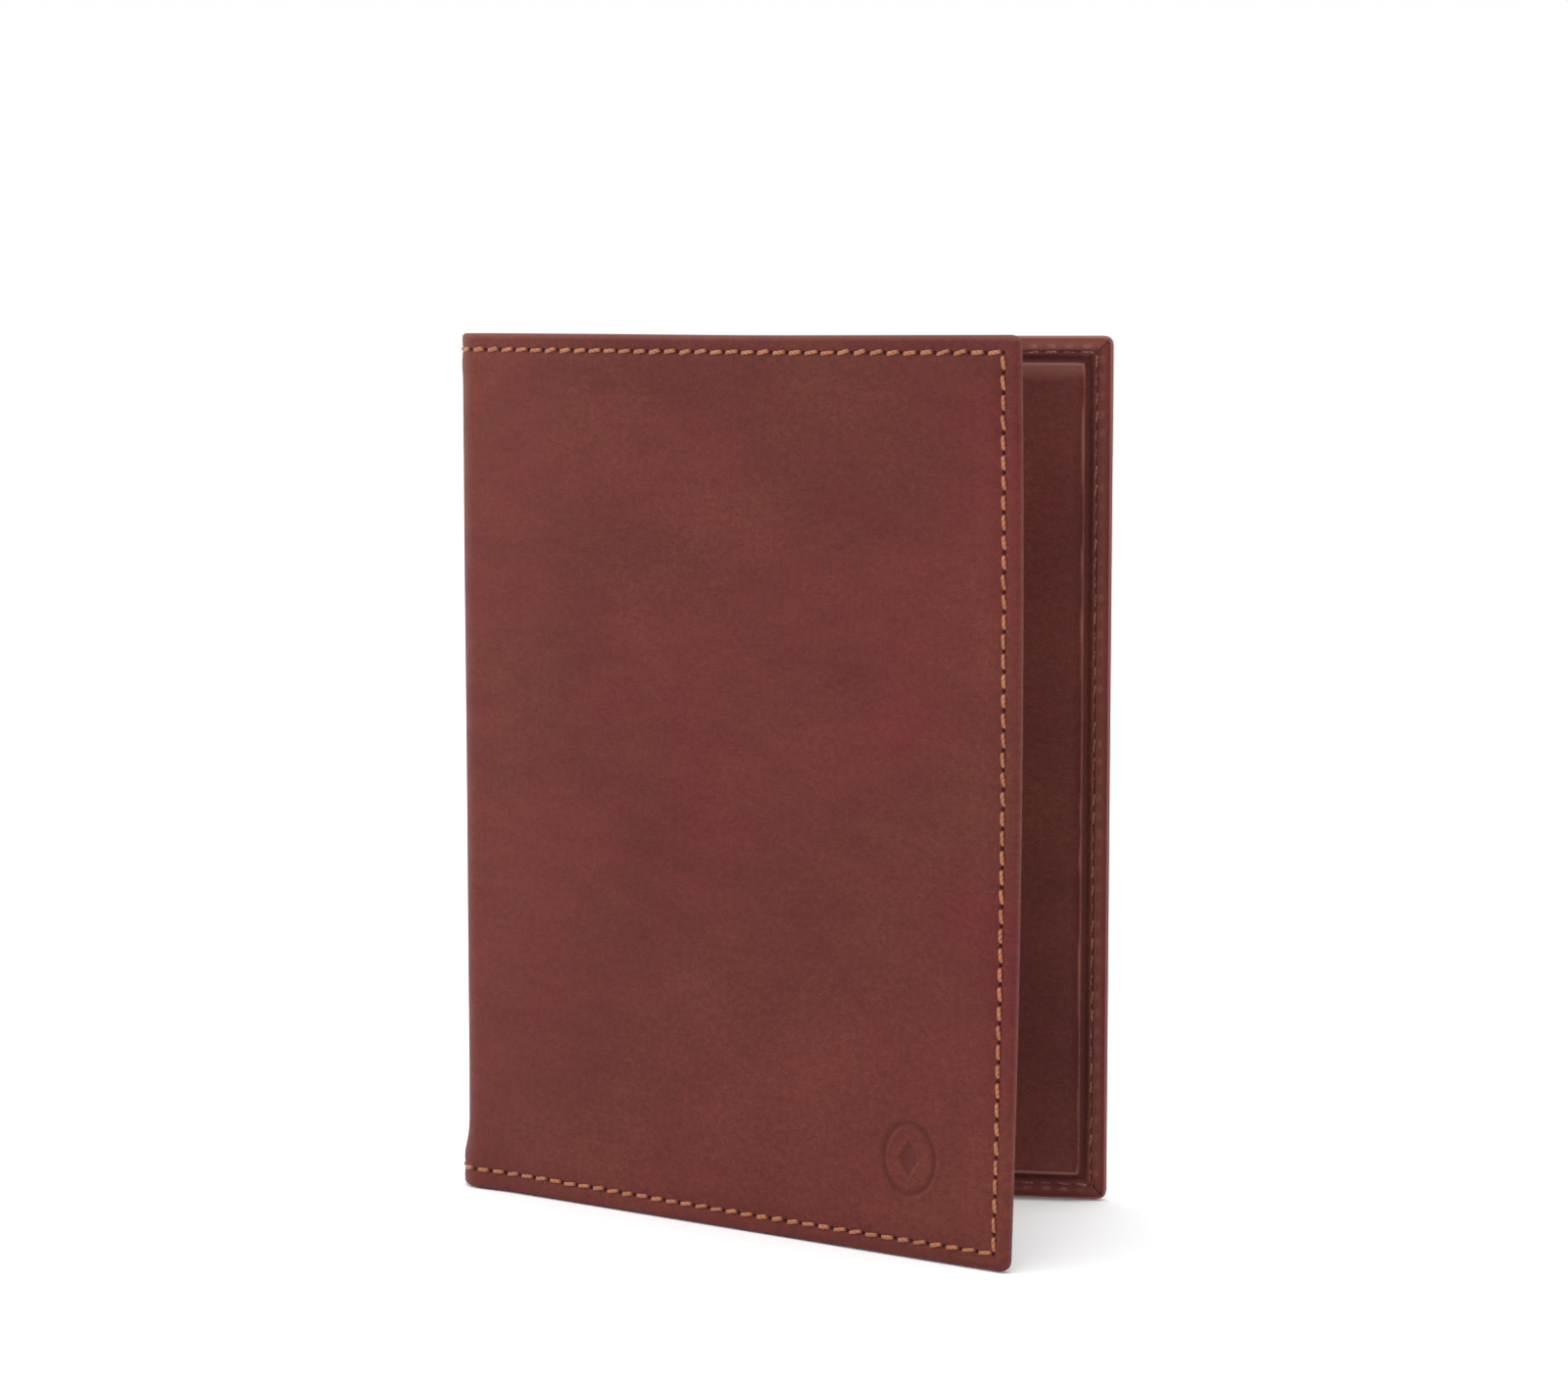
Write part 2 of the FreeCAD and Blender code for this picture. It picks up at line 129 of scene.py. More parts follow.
def standing(s, n, z, side):
    """Where a place on the flat pattern goes: s from the middle of the spine, n below the face."""
    s, z = slack(s, z, side)
    if s >= bend_end:
        x = back_fold.x + fold_run + s - bend_end
        y = back_fold.y + fold_depth - n
    else:
        turn = min((bend_end - s) / FOLD_RADIUS, bend)
        beyond = max(spine_flat - s, 0.0)
        reach = FOLD_RADIUS - n
        x = back_fold.x + fold_run - reach * math.sin(turn) - beyond * math.cos(turn)
        y = back_fold.y + fold_depth - FOLD_RADIUS + reach * math.cos(turn) - beyond * math.sin(turn)
    place = Vector((x, y, z))
    if side == "back":
        return place
    across = spine_run.normalized().to_3d()
    middle = (back_fold + front_fold) / 2
    return place - 2 * (place - middle).dot(across) * across


def stand_up(piece, side):
    """Takes a piece from the flat pattern (x along, y depth, z up) to its place on the holder."""
    for vertex in piece.data.vertices:
        vertex.co = standing(vertex.co.x, vertex.co.y, vertex.co.z, side)
    if side == "back":
        piece.data.flip_normals()
    piece.data.update()


def bend_over_fold(piece):
    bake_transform(piece)


def edit(piece):
    """Makes this the only selected object and opens it in edit mode with nothing selected."""
    bpy.ops.object.select_all(action="DESELECT")
    piece.select_set(True)
    bpy.context.view_layer.objects.active = piece
    bpy.ops.object.mode_set(mode="EDIT")
    bpy.ops.mesh.select_all(action="DESELECT")


def pick(piece, kind, test):
    """In edit mode, selects the edges or faces whose middle passes the test."""
    shape = bmesh.from_edit_mesh(piece.data)
    bpy.ops.mesh.select_mode(type=kind)
    items = shape.edges if kind == "EDGE" else shape.faces
    for item in items:
        middle = sum((v.co for v in item.verts), Vector()) / len(item.verts)
        item.select_set(test(middle, item))
    bmesh.update_edit_mesh(piece.data)


def close_edit(piece):
    bpy.ops.object.mode_set(mode="OBJECT")
    piece.select_set(False)


def turn_inside_out(piece):
    edit(piece)
    bpy.ops.mesh.select_all(action="SELECT")
    bpy.ops.mesh.flip_normals()
    close_edit(piece)


def apply_modifier(piece, kind, **settings):
    bpy.context.view_layer.objects.active = piece
    modifier = piece.modifiers.new(kind.title(), kind)
    for name, value in settings.items():
        setattr(modifier, name, value)
    bpy.ops.object.modifier_apply(modifier=modifier.name)


def thicken(piece, thickness, offset=-1):
    apply_modifier(piece, "SOLIDIFY", thickness=thickness, offset=offset, use_even_offset=False)


def smooth(piece, degrees=40):
    bpy.ops.object.select_all(action="DESELECT")
    piece.select_set(True)
    bpy.context.view_layer.objects.active = piece
    bpy.ops.object.shade_smooth_by_angle(angle=math.radians(degrees))
    piece.select_set(False)


def flat_grid(name, s0, s1, z0, z1, n, columns, rows):
    """A grid on the flat pattern at depth n, facing out of the holder."""
    bpy.ops.mesh.primitive_grid_add(x_subdivisions=columns, y_subdivisions=rows, size=1)
    piece = bpy.context.active_object
    piece.name = name
    piece.data.name = name
    for vertex in piece.data.vertices:
        x, y = vertex.co.x + 0.5, vertex.co.y + 0.5
        vertex.co = (s0 + x * (s1 - s0), n, z0 + y * (z1 - z0))
    return piece


def grow_rim(piece, inner_s, inner_z, profile, s_limit, z_limits, fixed_s=0.0):
    """Extrudes three sides of a flat grid outwards, ring by ring, to each (inset, depth).

    The side at fixed_s stays open. Inset is measured in from the limits."""
    edit(piece)
    here_s, here_low, here_high = inner_s, inner_z[0], inner_z[1]
    pick(piece, "EDGE", lambda middle, edge: edge.is_boundary and (
        middle.x > here_s - 1e-6 or middle.z < here_low + 1e-6 or middle.z > here_high - 1e-6))
    mid_z = (here_low + here_high) / 2
    depth = bmesh.from_edit_mesh(piece.data).verts[:][0].co.y
    for inset, next_depth in profile:
        next_s = s_limit - inset
        next_half = (z_limits[1] - z_limits[0]) / 2 - inset
        half = (here_high - here_low) / 2
        bpy.ops.mesh.extrude_region_move(TRANSFORM_OT_translate={"value": (0, next_depth - depth, 0)})
        bpy.ops.transform.resize(
            value=((next_s - fixed_s) / (here_s - fixed_s), 1, next_half / half),
            center_override=(fixed_s, 0, mid_z))
        here_s, depth = next_s, next_depth
        here_low, here_high = mid_z - next_half, mid_z + next_half
    close_edit(piece)


def swell(distance, middle, width):
    """A soft hump round a distance, 1 in its middle."""
    return math.exp(-((distance - middle) / width) ** 2)


def rim_distance(s, z):
    return min(half_width - s, z, height - z)


def to_step(value, pitch):
    """Distance from a value to the nearest whole number of pitches."""
    return ((value / pitch + 0.5) % 1 - 0.5) * pitch


def hole_distance(s, z):
    """Distance in the pattern to the nearest needle hole of the rim seam."""
    nearest = 1.0
    if s < seam_corner + stitch_pitch:
        for row in (SEAM_INSET, height - SEAM_INSET):
            nearest = min(nearest, math.hypot(to_step(s, stitch_pitch), z - row))
    if SEAM_INSET - upright_pitch < z < height - SEAM_INSET + upright_pitch:
        nearest = min(nearest, math.hypot(to_step(z - SEAM_INSET, upright_pitch), s - seam_corner))
    return nearest


def round_corner(s, z, radius=CORNER):
    """Moves a place near a free corner so that square rings become rounded ones."""
    corner_s = half_width - radius
    low = z < height / 2
    corner_z = radius if low else height - radius
    ds = s - corner_s
    dz = corner_z - z if low else z - corner_z
    if ds <= 0 or dz <= 0:
        return s, z
    shrink = max(ds, dz) / math.hypot(ds, dz)
    ds, dz = ds * shrink, dz * shrink
    return corner_s + ds, corner_z - dz if low else corner_z + dz


def pucker(s, z):
    """1 between two stitches of the nearest row, 0 at a needle hole. Some stitches are drawn tighter."""
    upright = half_width - s < min(z, height - z)
    along = (z - SEAM_INSET) / upright_pitch if upright else s / stitch_pitch
    tightness = 0.55 + 0.45 * math.sin(1.7 * math.floor(along) + 0.6)
    return math.sin(math.pi * along) ** 2 * tightness


GROOVE = 0.17 * MM             # depths, on a cover, of the seam's groove, needle holes and soft roll
HOLE = 0.26 * MM
ROLL = 0.10 * MM
ROLL_INSET = 5.0 * MM
SAG = 0.05 * MM                # of the leather on the board, with slow waves in it
WAVE = 0.045 * MM


def leather_depth(s, z):
    """How far the outer face lies below its own plane: seam groove, soft roll inside it, slow waves."""
    rim = rim_distance(s, z)
    pull = 0.4 + 0.6 * share(s, bend_end, bend_end + 4 * MM)
    depth = GROOVE * pull * swell(rim, SEAM_INSET, 0.62 * MM)
    depth += HOLE * pull * swell(hole_distance(s, z), 0, 0.5 * MM)
    depth -= ROLL * swell(rim, ROLL_INSET, 1.5 * MM)
    depth -= 0.3 * ROLL * swell(rim, SEAM_INSET - 1.4 * MM, 0.6 * MM)
    wave = math.cos(s / (17 * MM)) * math.sin(z / (23 * MM) + 0.4)
    wave += 0.6 * math.cos(s / (9 * MM)) * math.cos(z / (12 * MM))
    return depth + share(rim, 6 * MM, 20 * MM) * (SAG + WAVE * wave)


FLARE = 0.75 * MM


def hem_flare(s, z):
    """The turned-in leather pushes the spine's lower end out a little."""
    return FLARE * ease(s, bend_end + 7.5 * MM, bend_end - 1.5 * MM) * ease(z, 10.5 * MM, 2.5 * MM)


EMBLEM_S = half_width - 17.8 * MM      # plain oval ring pressed into the front cover
EMBLEM_Z = 15.2 * MM
EMBLEM_HALF = (5.2 * MM, 6.4 * MM)
EMBLEM_LINE = 0.36 * MM
EMBLEM_DEPTH = 0.28 * MM
RING_SHARE = 0.86              # of the emblem's half sizes
LOZENGE_SHARE = 0.34
LOZENGE_FLATNESS = 0.8


def emblem_depth(s, z):
    """An oval ring with a plain lozenge inside it, and the low lips that pressing raises."""
    ds, dz = (s - EMBLEM_S) / EMBLEM_HALF[0], (z - EMBLEM_Z) / EMBLEM_HALF[1]
    ring = (math.hypot(ds, dz) - RING_SHARE) * min(EMBLEM_HALF)
    lozenge = (abs(ds) + abs(dz) * LOZENGE_FLATNESS - LOZENGE_SHARE) * min(EMBLEM_HALF)
    inside = share(lozenge, 0.225 * MM, -0.225 * MM)
    lips = swell(abs(ring), 0.85 * MM, 0.3 * MM) + swell(lozenge, 0.55 * MM, 0.3 * MM)
    return EMBLEM_DEPTH * max(swell(ring, 0, EMBLEM_LINE), inside) - 0.05 * MM * lips


def rim_round():
    """(inset, depth) down the turned edge: an arris, a flat wall, and a second arris."""
    turns = [math.radians(15 * i) for i in range(7)]
    rings = [(TURN_RADIUS * (1 - math.sin(a)), TURN_RADIUS * (1 - math.cos(a))) for a in turns]
    rings += [(0, TURN_RADIUS + RIM_WALL * part) for part in (0.33, 0.67)]
    rings += [(TURN_RADIUS * (1 - math.cos(a)), RIM_THICKNESS - TURN_RADIUS * (1 - math.sin(a)))
              for a in turns]
    return rings


def hem_rings():
    """(inset, depth) from the turned edge in to the skived end of the hem."""
    return [(inset * MM, EDGE_THICKNESS - thinner * MM) for inset, thinner in (
        (0.9, 0.12), (1.5, 0.04), (2.1, 0), (2.6, 0), (3.3, 0), (4.6, 0), (6.4, 0), (8.2, 0),
        (HEM_WIDTH / MM, 0.1), (HEM_WIDTH / MM + 0.3, 0.22))]


PUCKER = 0.10 * MM
MITRE_DEPTH = 0.34 * MM
MITRE_WIDTH = 0.3 * MM


def hem_depth(s, z, rim):
    """Puckers beside the stitches, and the sunken line where two hems meet in a mitre."""
    depth = PUCKER * swell(rim, 1.9 * MM, 0.8 * MM) * pucker(s, z)
    end_gap, side_gap = half_width - s, min(z, height - z)
    if max(end_gap, side_gap) < HEM_WIDTH:
        depth -= MITRE_DEPTH * swell(abs(end_gap - side_gap), 0, MITRE_WIDTH) * min(rim / (1.0 * MM), 1)
    return depth


def outer_leather(side):
    piece = flat_grid("outer_leather_" + side, 0, seam_corner, SEAM_INSET, height - SEAM_INSET, 0,
                      HALF_STITCHES * CELLS, UPRIGHT_STITCHES * CELLS)
    profile = [(inset * MM, 0) for inset in (2.2, 1.8, 1.4, 1.0, 0.75)] + rim_round() + hem_rings()
    grow_rim(piece, seam_corner, (SEAM_INSET, height - SEAM_INSET), profile, half_width, (0, height))
    if side == "front":
        edit(piece)
        pick(piece, "FACE", lambda middle, face: middle.y < 1e-6
             and abs(middle.x - EMBLEM_S) < EMBLEM_HALF[0] + 0.8 * MM
             and abs(middle.z - EMBLEM_Z) < EMBLEM_HALF[1] + 0.8 * MM)
        bpy.ops.mesh.subdivide(number_cuts=3)
        close_edit(piece)
    mark_pattern(piece, turned_in=True)
    for vertex in piece.data.vertices:
        s, n, z = vertex.co
        rim = rim_distance(s, z)
        s, z = round_corner(s, z)
        if n < EDGE_RADIUS * 0.6:
            n += leather_depth(s, z) * (1 - n / EDGE_RADIUS)
            if side == "front":
                n += emblem_depth(s, z)
        if n > EDGE_RADIUS:
            n += hem_depth(s, z, rim)
        n -= hem_flare(s, z) * max(1 - n / EDGE_THICKNESS, 0)
        vertex.co = (s, n, z)
    thicken(piece, LEATHER)
    smooth(piece, 55)
    stand_up(piece, side)
    return piece


def unrolled(inset, n):
    """Distance in from the rim on the uncut sheet, below zero once the leather has turned over."""
    if n < TURN_RADIUS * 1.001:
        return inset
    if n < (TURN_RADIUS + RIM_WALL) * 1.001:
        return TURN_RADIUS - n
    return -RIM_WALL - inset


def mark_pattern(piece, turned_in=False):
    """UV map of the uncut sheet. With turned_in, the grain runs on round the turned edges."""
    layer = piece.data.uv_layers.get(PATTERN) or piece.data.uv_layers.new(name=PATTERN)
    for face in piece.data.polygons:
        gaps = (half_width - face.center.x, face.center.z, height - face.center.z)
        nearest = gaps.index(min(gaps))
        for loop in face.loop_indices:
            s, n, z = piece.data.vertices[piece.data.loops[loop].vertex_index].co
            if turned_in and n > 0:
                if nearest == 0:
                    s = half_width - unrolled(half_width - s, n)
                elif nearest == 1:
                    z = unrolled(z, n)
                else:
                    z = height - unrolled(height - z, n)
            layer.data[loop].uv = (s / PATTERN_UNIT, z / PATTERN_UNIT)


class Nodes:
    """Builds one procedural material, with short words for the nodes that this object needs."""

    def __init__(self, name, colour, roughness):
        self.material = bpy.data.materials.new(name)
        self.material.use_nodes = True
        self.tree = self.material.node_tree
        self.shader = self.tree.nodes["Principled BSDF"]
        self.shader.inputs["Base Color"].default_value = (*colour, 1)
        self.shader.inputs["Roughness"].default_value = roughness
        self.material.diffuse_color = (*colour, 1)

    def add(self, kind, **settings):
        node = self.tree.nodes.new(kind)
        for name, value in settings.items():
            setattr(node, name, value)
        return node

    def join(self, source, target):
        self.tree.links.new(source, target)

    def place(self, uv=None, scale=(1, 1, 1)):
        """Places on a UV map, or on the object itself."""
        if uv:
            source = self.add("ShaderNodeUVMap", uv_map=uv).outputs["UV"]
        else:
            source = self.add("ShaderNodeTexCoord").outputs["Object"]
        mapping = self.add("ShaderNodeMapping")
        mapping.inputs["Scale"].default_value = scale
        self.join(source, mapping.inputs["Vector"])
        return mapping.outputs["Vector"]

    def noise(self, place, scale, detail=3.0, rough=0.5, distortion=0.0):
        node = self.add("ShaderNodeTexNoise")
        node.inputs["Scale"].default_value = scale
        node.inputs["Detail"].default_value = detail
        node.inputs["Roughness"].default_value = rough
        node.inputs["Distortion"].default_value = distortion
        self.join(place, node.inputs["Vector"])
        return node.outputs["Fac"]

    def cells(self, place, scale):
        node = self.add("ShaderNodeTexVoronoi", feature="F1")
        node.inputs["Scale"].default_value = scale
        self.join(place, node.inputs["Vector"])
        return node.outputs["Distance"]

    def ramp(self, value, stops):
        node = self.add("ShaderNodeValToRGB")
        node.color_ramp.interpolation = "EASE"
        while len(node.color_ramp.elements) < len(stops):
            node.color_ramp.elements.new(0.5)
        for element, (position, colour) in zip(node.color_ramp.elements, stops):
            element.position = position
            element.color = (*colour, 1)
        self.join(value, node.inputs["Fac"])
        return node.outputs["Color"]

    def sums(self, operation, first, second=None, third=None):
        node = self.add("ShaderNodeMath", operation=operation)
        for index, value in enumerate((first, second, third)):
            if value is None:
                continue
            if isinstance(value, (int, float)):
                node.inputs[index].default_value = value
            else:
                self.join(value, node.inputs[index])
        return node.outputs["Value"]

    def times(self, first, second):
        return self.sums("MULTIPLY", first, second)

    def plus(self, first, second):
        return self.sums("ADD", first, second)

    def minus(self, first, second):
        return self.sums("SUBTRACT", first, second)

    def least(self, first, second):
        return self.sums("MINIMUM", first, second)

    def most(self, first, second):
        return self.sums("MAXIMUM", first, second)

    def away(self, value, middle):
        """How far a value is from the middle."""
        return self.sums("ABSOLUTE", self.minus(value, middle))

    def line(self, distance, core, edge):
        """1 up to the core of a line or spot, 0 past its soft edge."""
        return self.fit(distance, core, edge, 1.0, 0.0)

    def fit(self, value, low, high, to_low=0.0, to_high=1.0):
        node = self.add("ShaderNodeMapRange", interpolation_type="SMOOTHSTEP")
        self.join(value, node.inputs["Value"])
        for name, number in (("From Min", low), ("From Max", high), ("To Min", to_low), ("To Max", to_high)):
            node.inputs[name].default_value = number
        return node.outputs["Result"]

    def tint(self, colour, mask, tone, kind="MIX"):
        """Brings a colour to the tone where the mask is 1."""
        node = self.add("ShaderNodeMix", data_type="RGBA", blend_type=kind)
        for index, value in ((0, mask), (6, colour), (7, tone)):
            if isinstance(value, float):
                node.inputs[index].default_value = value
            elif isinstance(value, tuple):
                node.inputs[index].default_value = (*value, 1)
            else:
                self.join(value, node.inputs[index])
        return node.outputs[2]

    def shade(self, colour, value, low, high, darkest, lightest):
        """Darkens and lightens a colour by a grey pattern."""
        grey = self.add("ShaderNodeCombineColor")
        level = self.fit(value, low, high, darkest, lightest)
        for socket in grey.inputs:
            self.join(level, socket)
        return self.tint(colour, 1.0, grey.outputs["Color"], "MULTIPLY")

    def bump(self, height_value, strength, distance):
        node = self.add("ShaderNodeBump")
        node.inputs["Strength"].default_value = strength
        node.inputs["Distance"].default_value = distance
        self.join(height_value, node.inputs["Height"])
        return node.outputs["Normal"]

    def finish(self, colour, roughness=None, normal=None):
        for name, value in (("Base Color", colour), ("Roughness", roughness), ("Normal", normal)):
            if value is not None:
                self.join(value, self.shader.inputs[name])
        return self.material


def srgb(*numbers):
    """Linear colour from the usual 0 to 255 numbers."""
    parts = (number / 255 for number in numbers)
    return tuple(part / 12.92 if part <= 0.04 else ((part + 0.055) / 1.055) ** 2.4 for part in parts)


def leather_material(name, browner, middle, redder, marks=None, gloss=0.52, way=1):
    """Polished cowhide: slow drifts between brown and red, wide shades, small clouds, fine fibres
    along the sheet, specks and pores. way is -1 on the half where the pattern runs backwards."""
    made = Nodes(name, middle, gloss)
    place = made.place(PATTERN, scale=(way, 1, 1))
    drawn = made.place(PATTERN, scale=(way, 2.0, 1))
    along = made.place(PATTERN, scale=(0.6 * way, 2.4, 1))
    drift = made.noise(place, 2.4, 5, 0.62, 0.5)
    wide = made.noise(drawn, 1.7, 4, 0.55, 0.6)
    cloud = made.noise(drawn, 12, 6, 0.66, 0.4)
    speck = made.noise(place, 95, 4, 0.7)
    fibre = made.noise(along, 130, 5, 0.75)
    grain = made.noise(place, 330, 3, 0.6)
    pores = made.cells(place, 150)
    tone = made.sums("MULTIPLY_ADD", drift, 0.72, made.times(speck, 0.28))
    colour = made.ramp(tone, ((0.36, redder), (0.5, middle), (0.64, browner)))
    for value, low, high, darkest, lightest in (
            (wide, 0.34, 0.66, 0.90, 1.09), (cloud, 0.30, 0.70, 0.94, 1.05),
            (speck, 0.30, 0.70, 0.87, 1.12), (fibre, 0.30, 0.72, 0.89, 1.12),
            (grain, 0.30, 0.70, 0.85, 1.13), (pores, 0.04, 0.24, 0.74, 1.03)):
        colour = made.shade(colour, value, low, high, darkest, lightest)
    relief = made.plus(made.times(fibre, 0.7), made.times(grain, 0.5))
    relief = made.plus(relief, made.times(pores, 0.35))
    rough = made.plus(made.fit(cloud, 0.3, 0.7, gloss + 0.05, gloss - 0.05), made.times(fibre, 0.08))
    if marks:
        colour, rough = marks(made, colour, rough)
    made.shader.inputs["Specular IOR Level"].default_value = 0.20
    return made.finish(colour, rough, made.bump(relief, 0.22, 0.12 * MM))


def pattern_axes(made):
    """The pattern's two axes in metres: along from the middle of the spine, and up."""
    split = made.add("ShaderNodeSeparateXYZ")
    made.join(made.add("ShaderNodeUVMap", uv_map=PATTERN).outputs["UV"], split.inputs["Vector"])
    return [made.times(split.outputs[axis], PATTERN_UNIT) for axis in ("X", "Y")]


def rim_value(made, s, z):
    """Distance in from the rim, below zero on the hem."""
    return made.least(made.minus(half_width, s), made.least(z, made.minus(height, z)))


def nearest_step(made, value, first, pitch):
    """Distance from a value to the nearest of the steps that start at first."""
    steps = made.sums("DIVIDE", made.minus(value, first - pitch / 2), pitch)
    return made.times(made.away(made.sums("FRACT", steps), 0.5), pitch)


def hypotenuse(made, first, second):
    squares = made.sums("MULTIPLY_ADD", first, first, made.times(second, second))
    return made.sums("SQRT", squares)


def needle_hole_shade(made, s, z):
    """Mask of painted shade in the rim seam's needle holes."""
    to_row = made.least(made.away(z, SEAM_INSET), made.away(z, height - SEAM_INSET))
    past_row = made.sums("GREATER_THAN", s, seam_corner + 0.5 * MM)
    row_hole = made.most(hypotenuse(made, nearest_step(made, s, 0.0, stitch_pitch), to_row), past_row)
    past_column = made.sums("GREATER_THAN", made.away(z, height / 2), height / 2 - SEAM_INSET + 0.5 * MM)
    up = nearest_step(made, z, SEAM_INSET, upright_pitch)
    column_hole = made.most(hypotenuse(made, up, made.away(s, seam_corner)), past_column)
    return made.line(made.least(row_hole, column_hole), 0.20 * MM, 0.42 * MM)


def mitre_line(made, z, past_end, past_side):
    """Mask of the line where the hems meet, from both sides of it, fainter at the upper corner."""
    from_end = made.minus(made.minus(past_end, RIM_WALL), made.least(z, made.minus(height, z)))
    from_side = made.plus(made.minus(past_side, RIM_WALL), past_end)
    nearest = made.least(
        made.plus(made.sums("ABSOLUTE", from_end), made.sums("LESS_THAN", past_end, 0)),
        made.plus(made.sums("ABSOLUTE", from_side), made.sums("LESS_THAN", past_side, 0)))
    return made.times(made.line(nearest, 0.10 * MM, 0.26 * MM), made.fit(z, 0.0, height, 0.75, 0.45))


def puckers(made, along, pitch, past_rim):
    """Mask on the hem: painted highlights on the tops of the small puckers between two stitches."""
    middle = made.line(nearest_step(made, along, pitch / 2, pitch), 0.10 * pitch, 0.32 * pitch)
    return made.times(middle, made.line(made.away(past_rim, 2.2 * MM), 0.15 * MM, 0.65 * MM))


def seam_marks(made, colour, rough):
    """Painted shade in the needle holes, a painted highlight on the inner arris, painted sheen on worn
    leather near the fold, painted highlights on the top edge, the top of the hem and the pucker tops, and
    the hem's browner leather.
    """
    s, z = pattern_axes(made)
    to_rim = rim_value(made, s, z)
    past_end = made.minus(s, half_width)
    past_side = made.most(made.times(z, -1), made.minus(z, height))
    # Painted sheen on worn leather near the fold, lighter and greyer towards the spine and the top.
    fold_sheen_and_wear = made.times(made.fit(s, 2 * MM, 40 * MM, 0.11, 0.0),
                       made.fit(z, height - 45 * MM, height - 5 * MM, 0.6, 1.0))
    hem = made.fit(to_rim, -1.9 * MM, -0.9 * MM, 0.5, 0.0)
    # Painted highlights where light from above falls: a band on the hem just below the top edge, and the
    # rounded top edge itself.
    top_highlight = made.times(made.fit(z, height, height + 0.8 * MM, 0.0, 0.42),
                      made.line(z, height + 3.0 * MM, height + 5.5 * MM))
    top_edge_highlight = made.fit(z, height - 1.1 * MM, height - 0.3 * MM, 0.0, 0.30)
    # Painted highlights on the pucker tops, fainter on the upright rows, made patchy by noise.
    lift = made.most(puckers(made, s, stitch_pitch, past_side),
                     made.times(puckers(made, z, upright_pitch, past_end), 0.3))
    uneven = made.fit(made.noise(made.place(PATTERN), 26, 2, 0.5), 0.35, 0.65, 0.2, 0.9)
    # Painted highlight: a thin light line along the turned edge's inner arris, on every free edge.
    arris = made.line(made.away(to_rim, -RIM_WALL - 0.25 * MM), 0.08 * MM, 0.26 * MM)
    # Painted shade in the needle holes, which are also made rougher.
    holes = needle_hole_shade(made, s, z)
    for mask, tone in ((fold_sheen_and_wear, srgb(150, 84, 62)), (hem, srgb(108, 56, 46)),
                       (made.most(top_highlight, top_edge_highlight), srgb(132, 82, 70)),
                       (made.times(lift, uneven), srgb(140, 88, 76)),
                       (made.times(arris, 0.6), srgb(146, 92, 84)),
                       (mitre_line(made, z, past_end, past_side), srgb(40, 15, 11)),
                       (holes, srgb(52, 17, 12))):
        colour = made.tint(colour, mask, tone)
    return colour, made.least(made.plus(rough, made.times(holes, 0.4)), 1.0)


def front_marks(made, colour, rough):
    """The seam's marks, and darker pressed leather with painted shade in the emblem's pressed lines."""
    colour, rough = seam_marks(made, colour, rough)
    s, z = pattern_axes(made)
    across = made.sums("DIVIDE", made.minus(s, EMBLEM_S), EMBLEM_HALF[0])
    up = made.sums("DIVIDE", made.minus(z, EMBLEM_Z), EMBLEM_HALF[1])
    # The ring and lozenge are darkened: pressed leather, plus painted shade in their recesses.
    ring = made.line(made.away(hypotenuse(made, across, up), RING_SHARE), 0.03, 0.11)
    lozenge = made.plus(made.sums("ABSOLUTE", across),
                        made.times(made.sums("ABSOLUTE", up), LOZENGE_FLATNESS))
    lozenge = made.line(lozenge, LOZENGE_SHARE - 0.03, LOZENGE_SHARE + 0.06)
    return made.tint(colour, made.times(made.most(ring, lozenge), 0.34), srgb(66, 26, 23)), rough


LEATHER_TONES = (srgb(91, 38, 28), srgb(88, 32, 27), srgb(90, 27, 28))
for side, marks, hidden in (("back", seam_marks, ("back_outer_leather", "spine_outer_leather")),
                            ("front", front_marks, ("front_outer_leather",))):
    leather = outer_leather(side)
    leather.data.materials.append(leather_material(
        "cover_leather_" + side, *LEATHER_TONES, marks=marks, way=1 if side == "back" else -1))
    bend_over_fold(leather)
    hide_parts(*hidden)


# ---- Thread of the rim seam ----
# Waxed tan thread, lockstitched through every layer round the rim. Each stitch is a short fat bar
# that dives into a needle hole at both ends and lies a little askew, as a machine leaves it.

THREAD_WIDTH = 0.68 * MM
THREAD_HEIGHT = 0.46 * MM
THREAD_SUNK = 0.16 * MM        # into the cover
STITCH_LENGTH = 2.25 * MM
STITCH_STEPS = 12
PLY_TURNS = 1.4                # of the two plies over one stitch
PLY_WAIST = 0.20               # share of the width lost between the plies
END_SLIM = 0.34                # shares lost and sunk where a stitch dives into its needle holes
END_SINK = 0.62
BELLY = 0.20


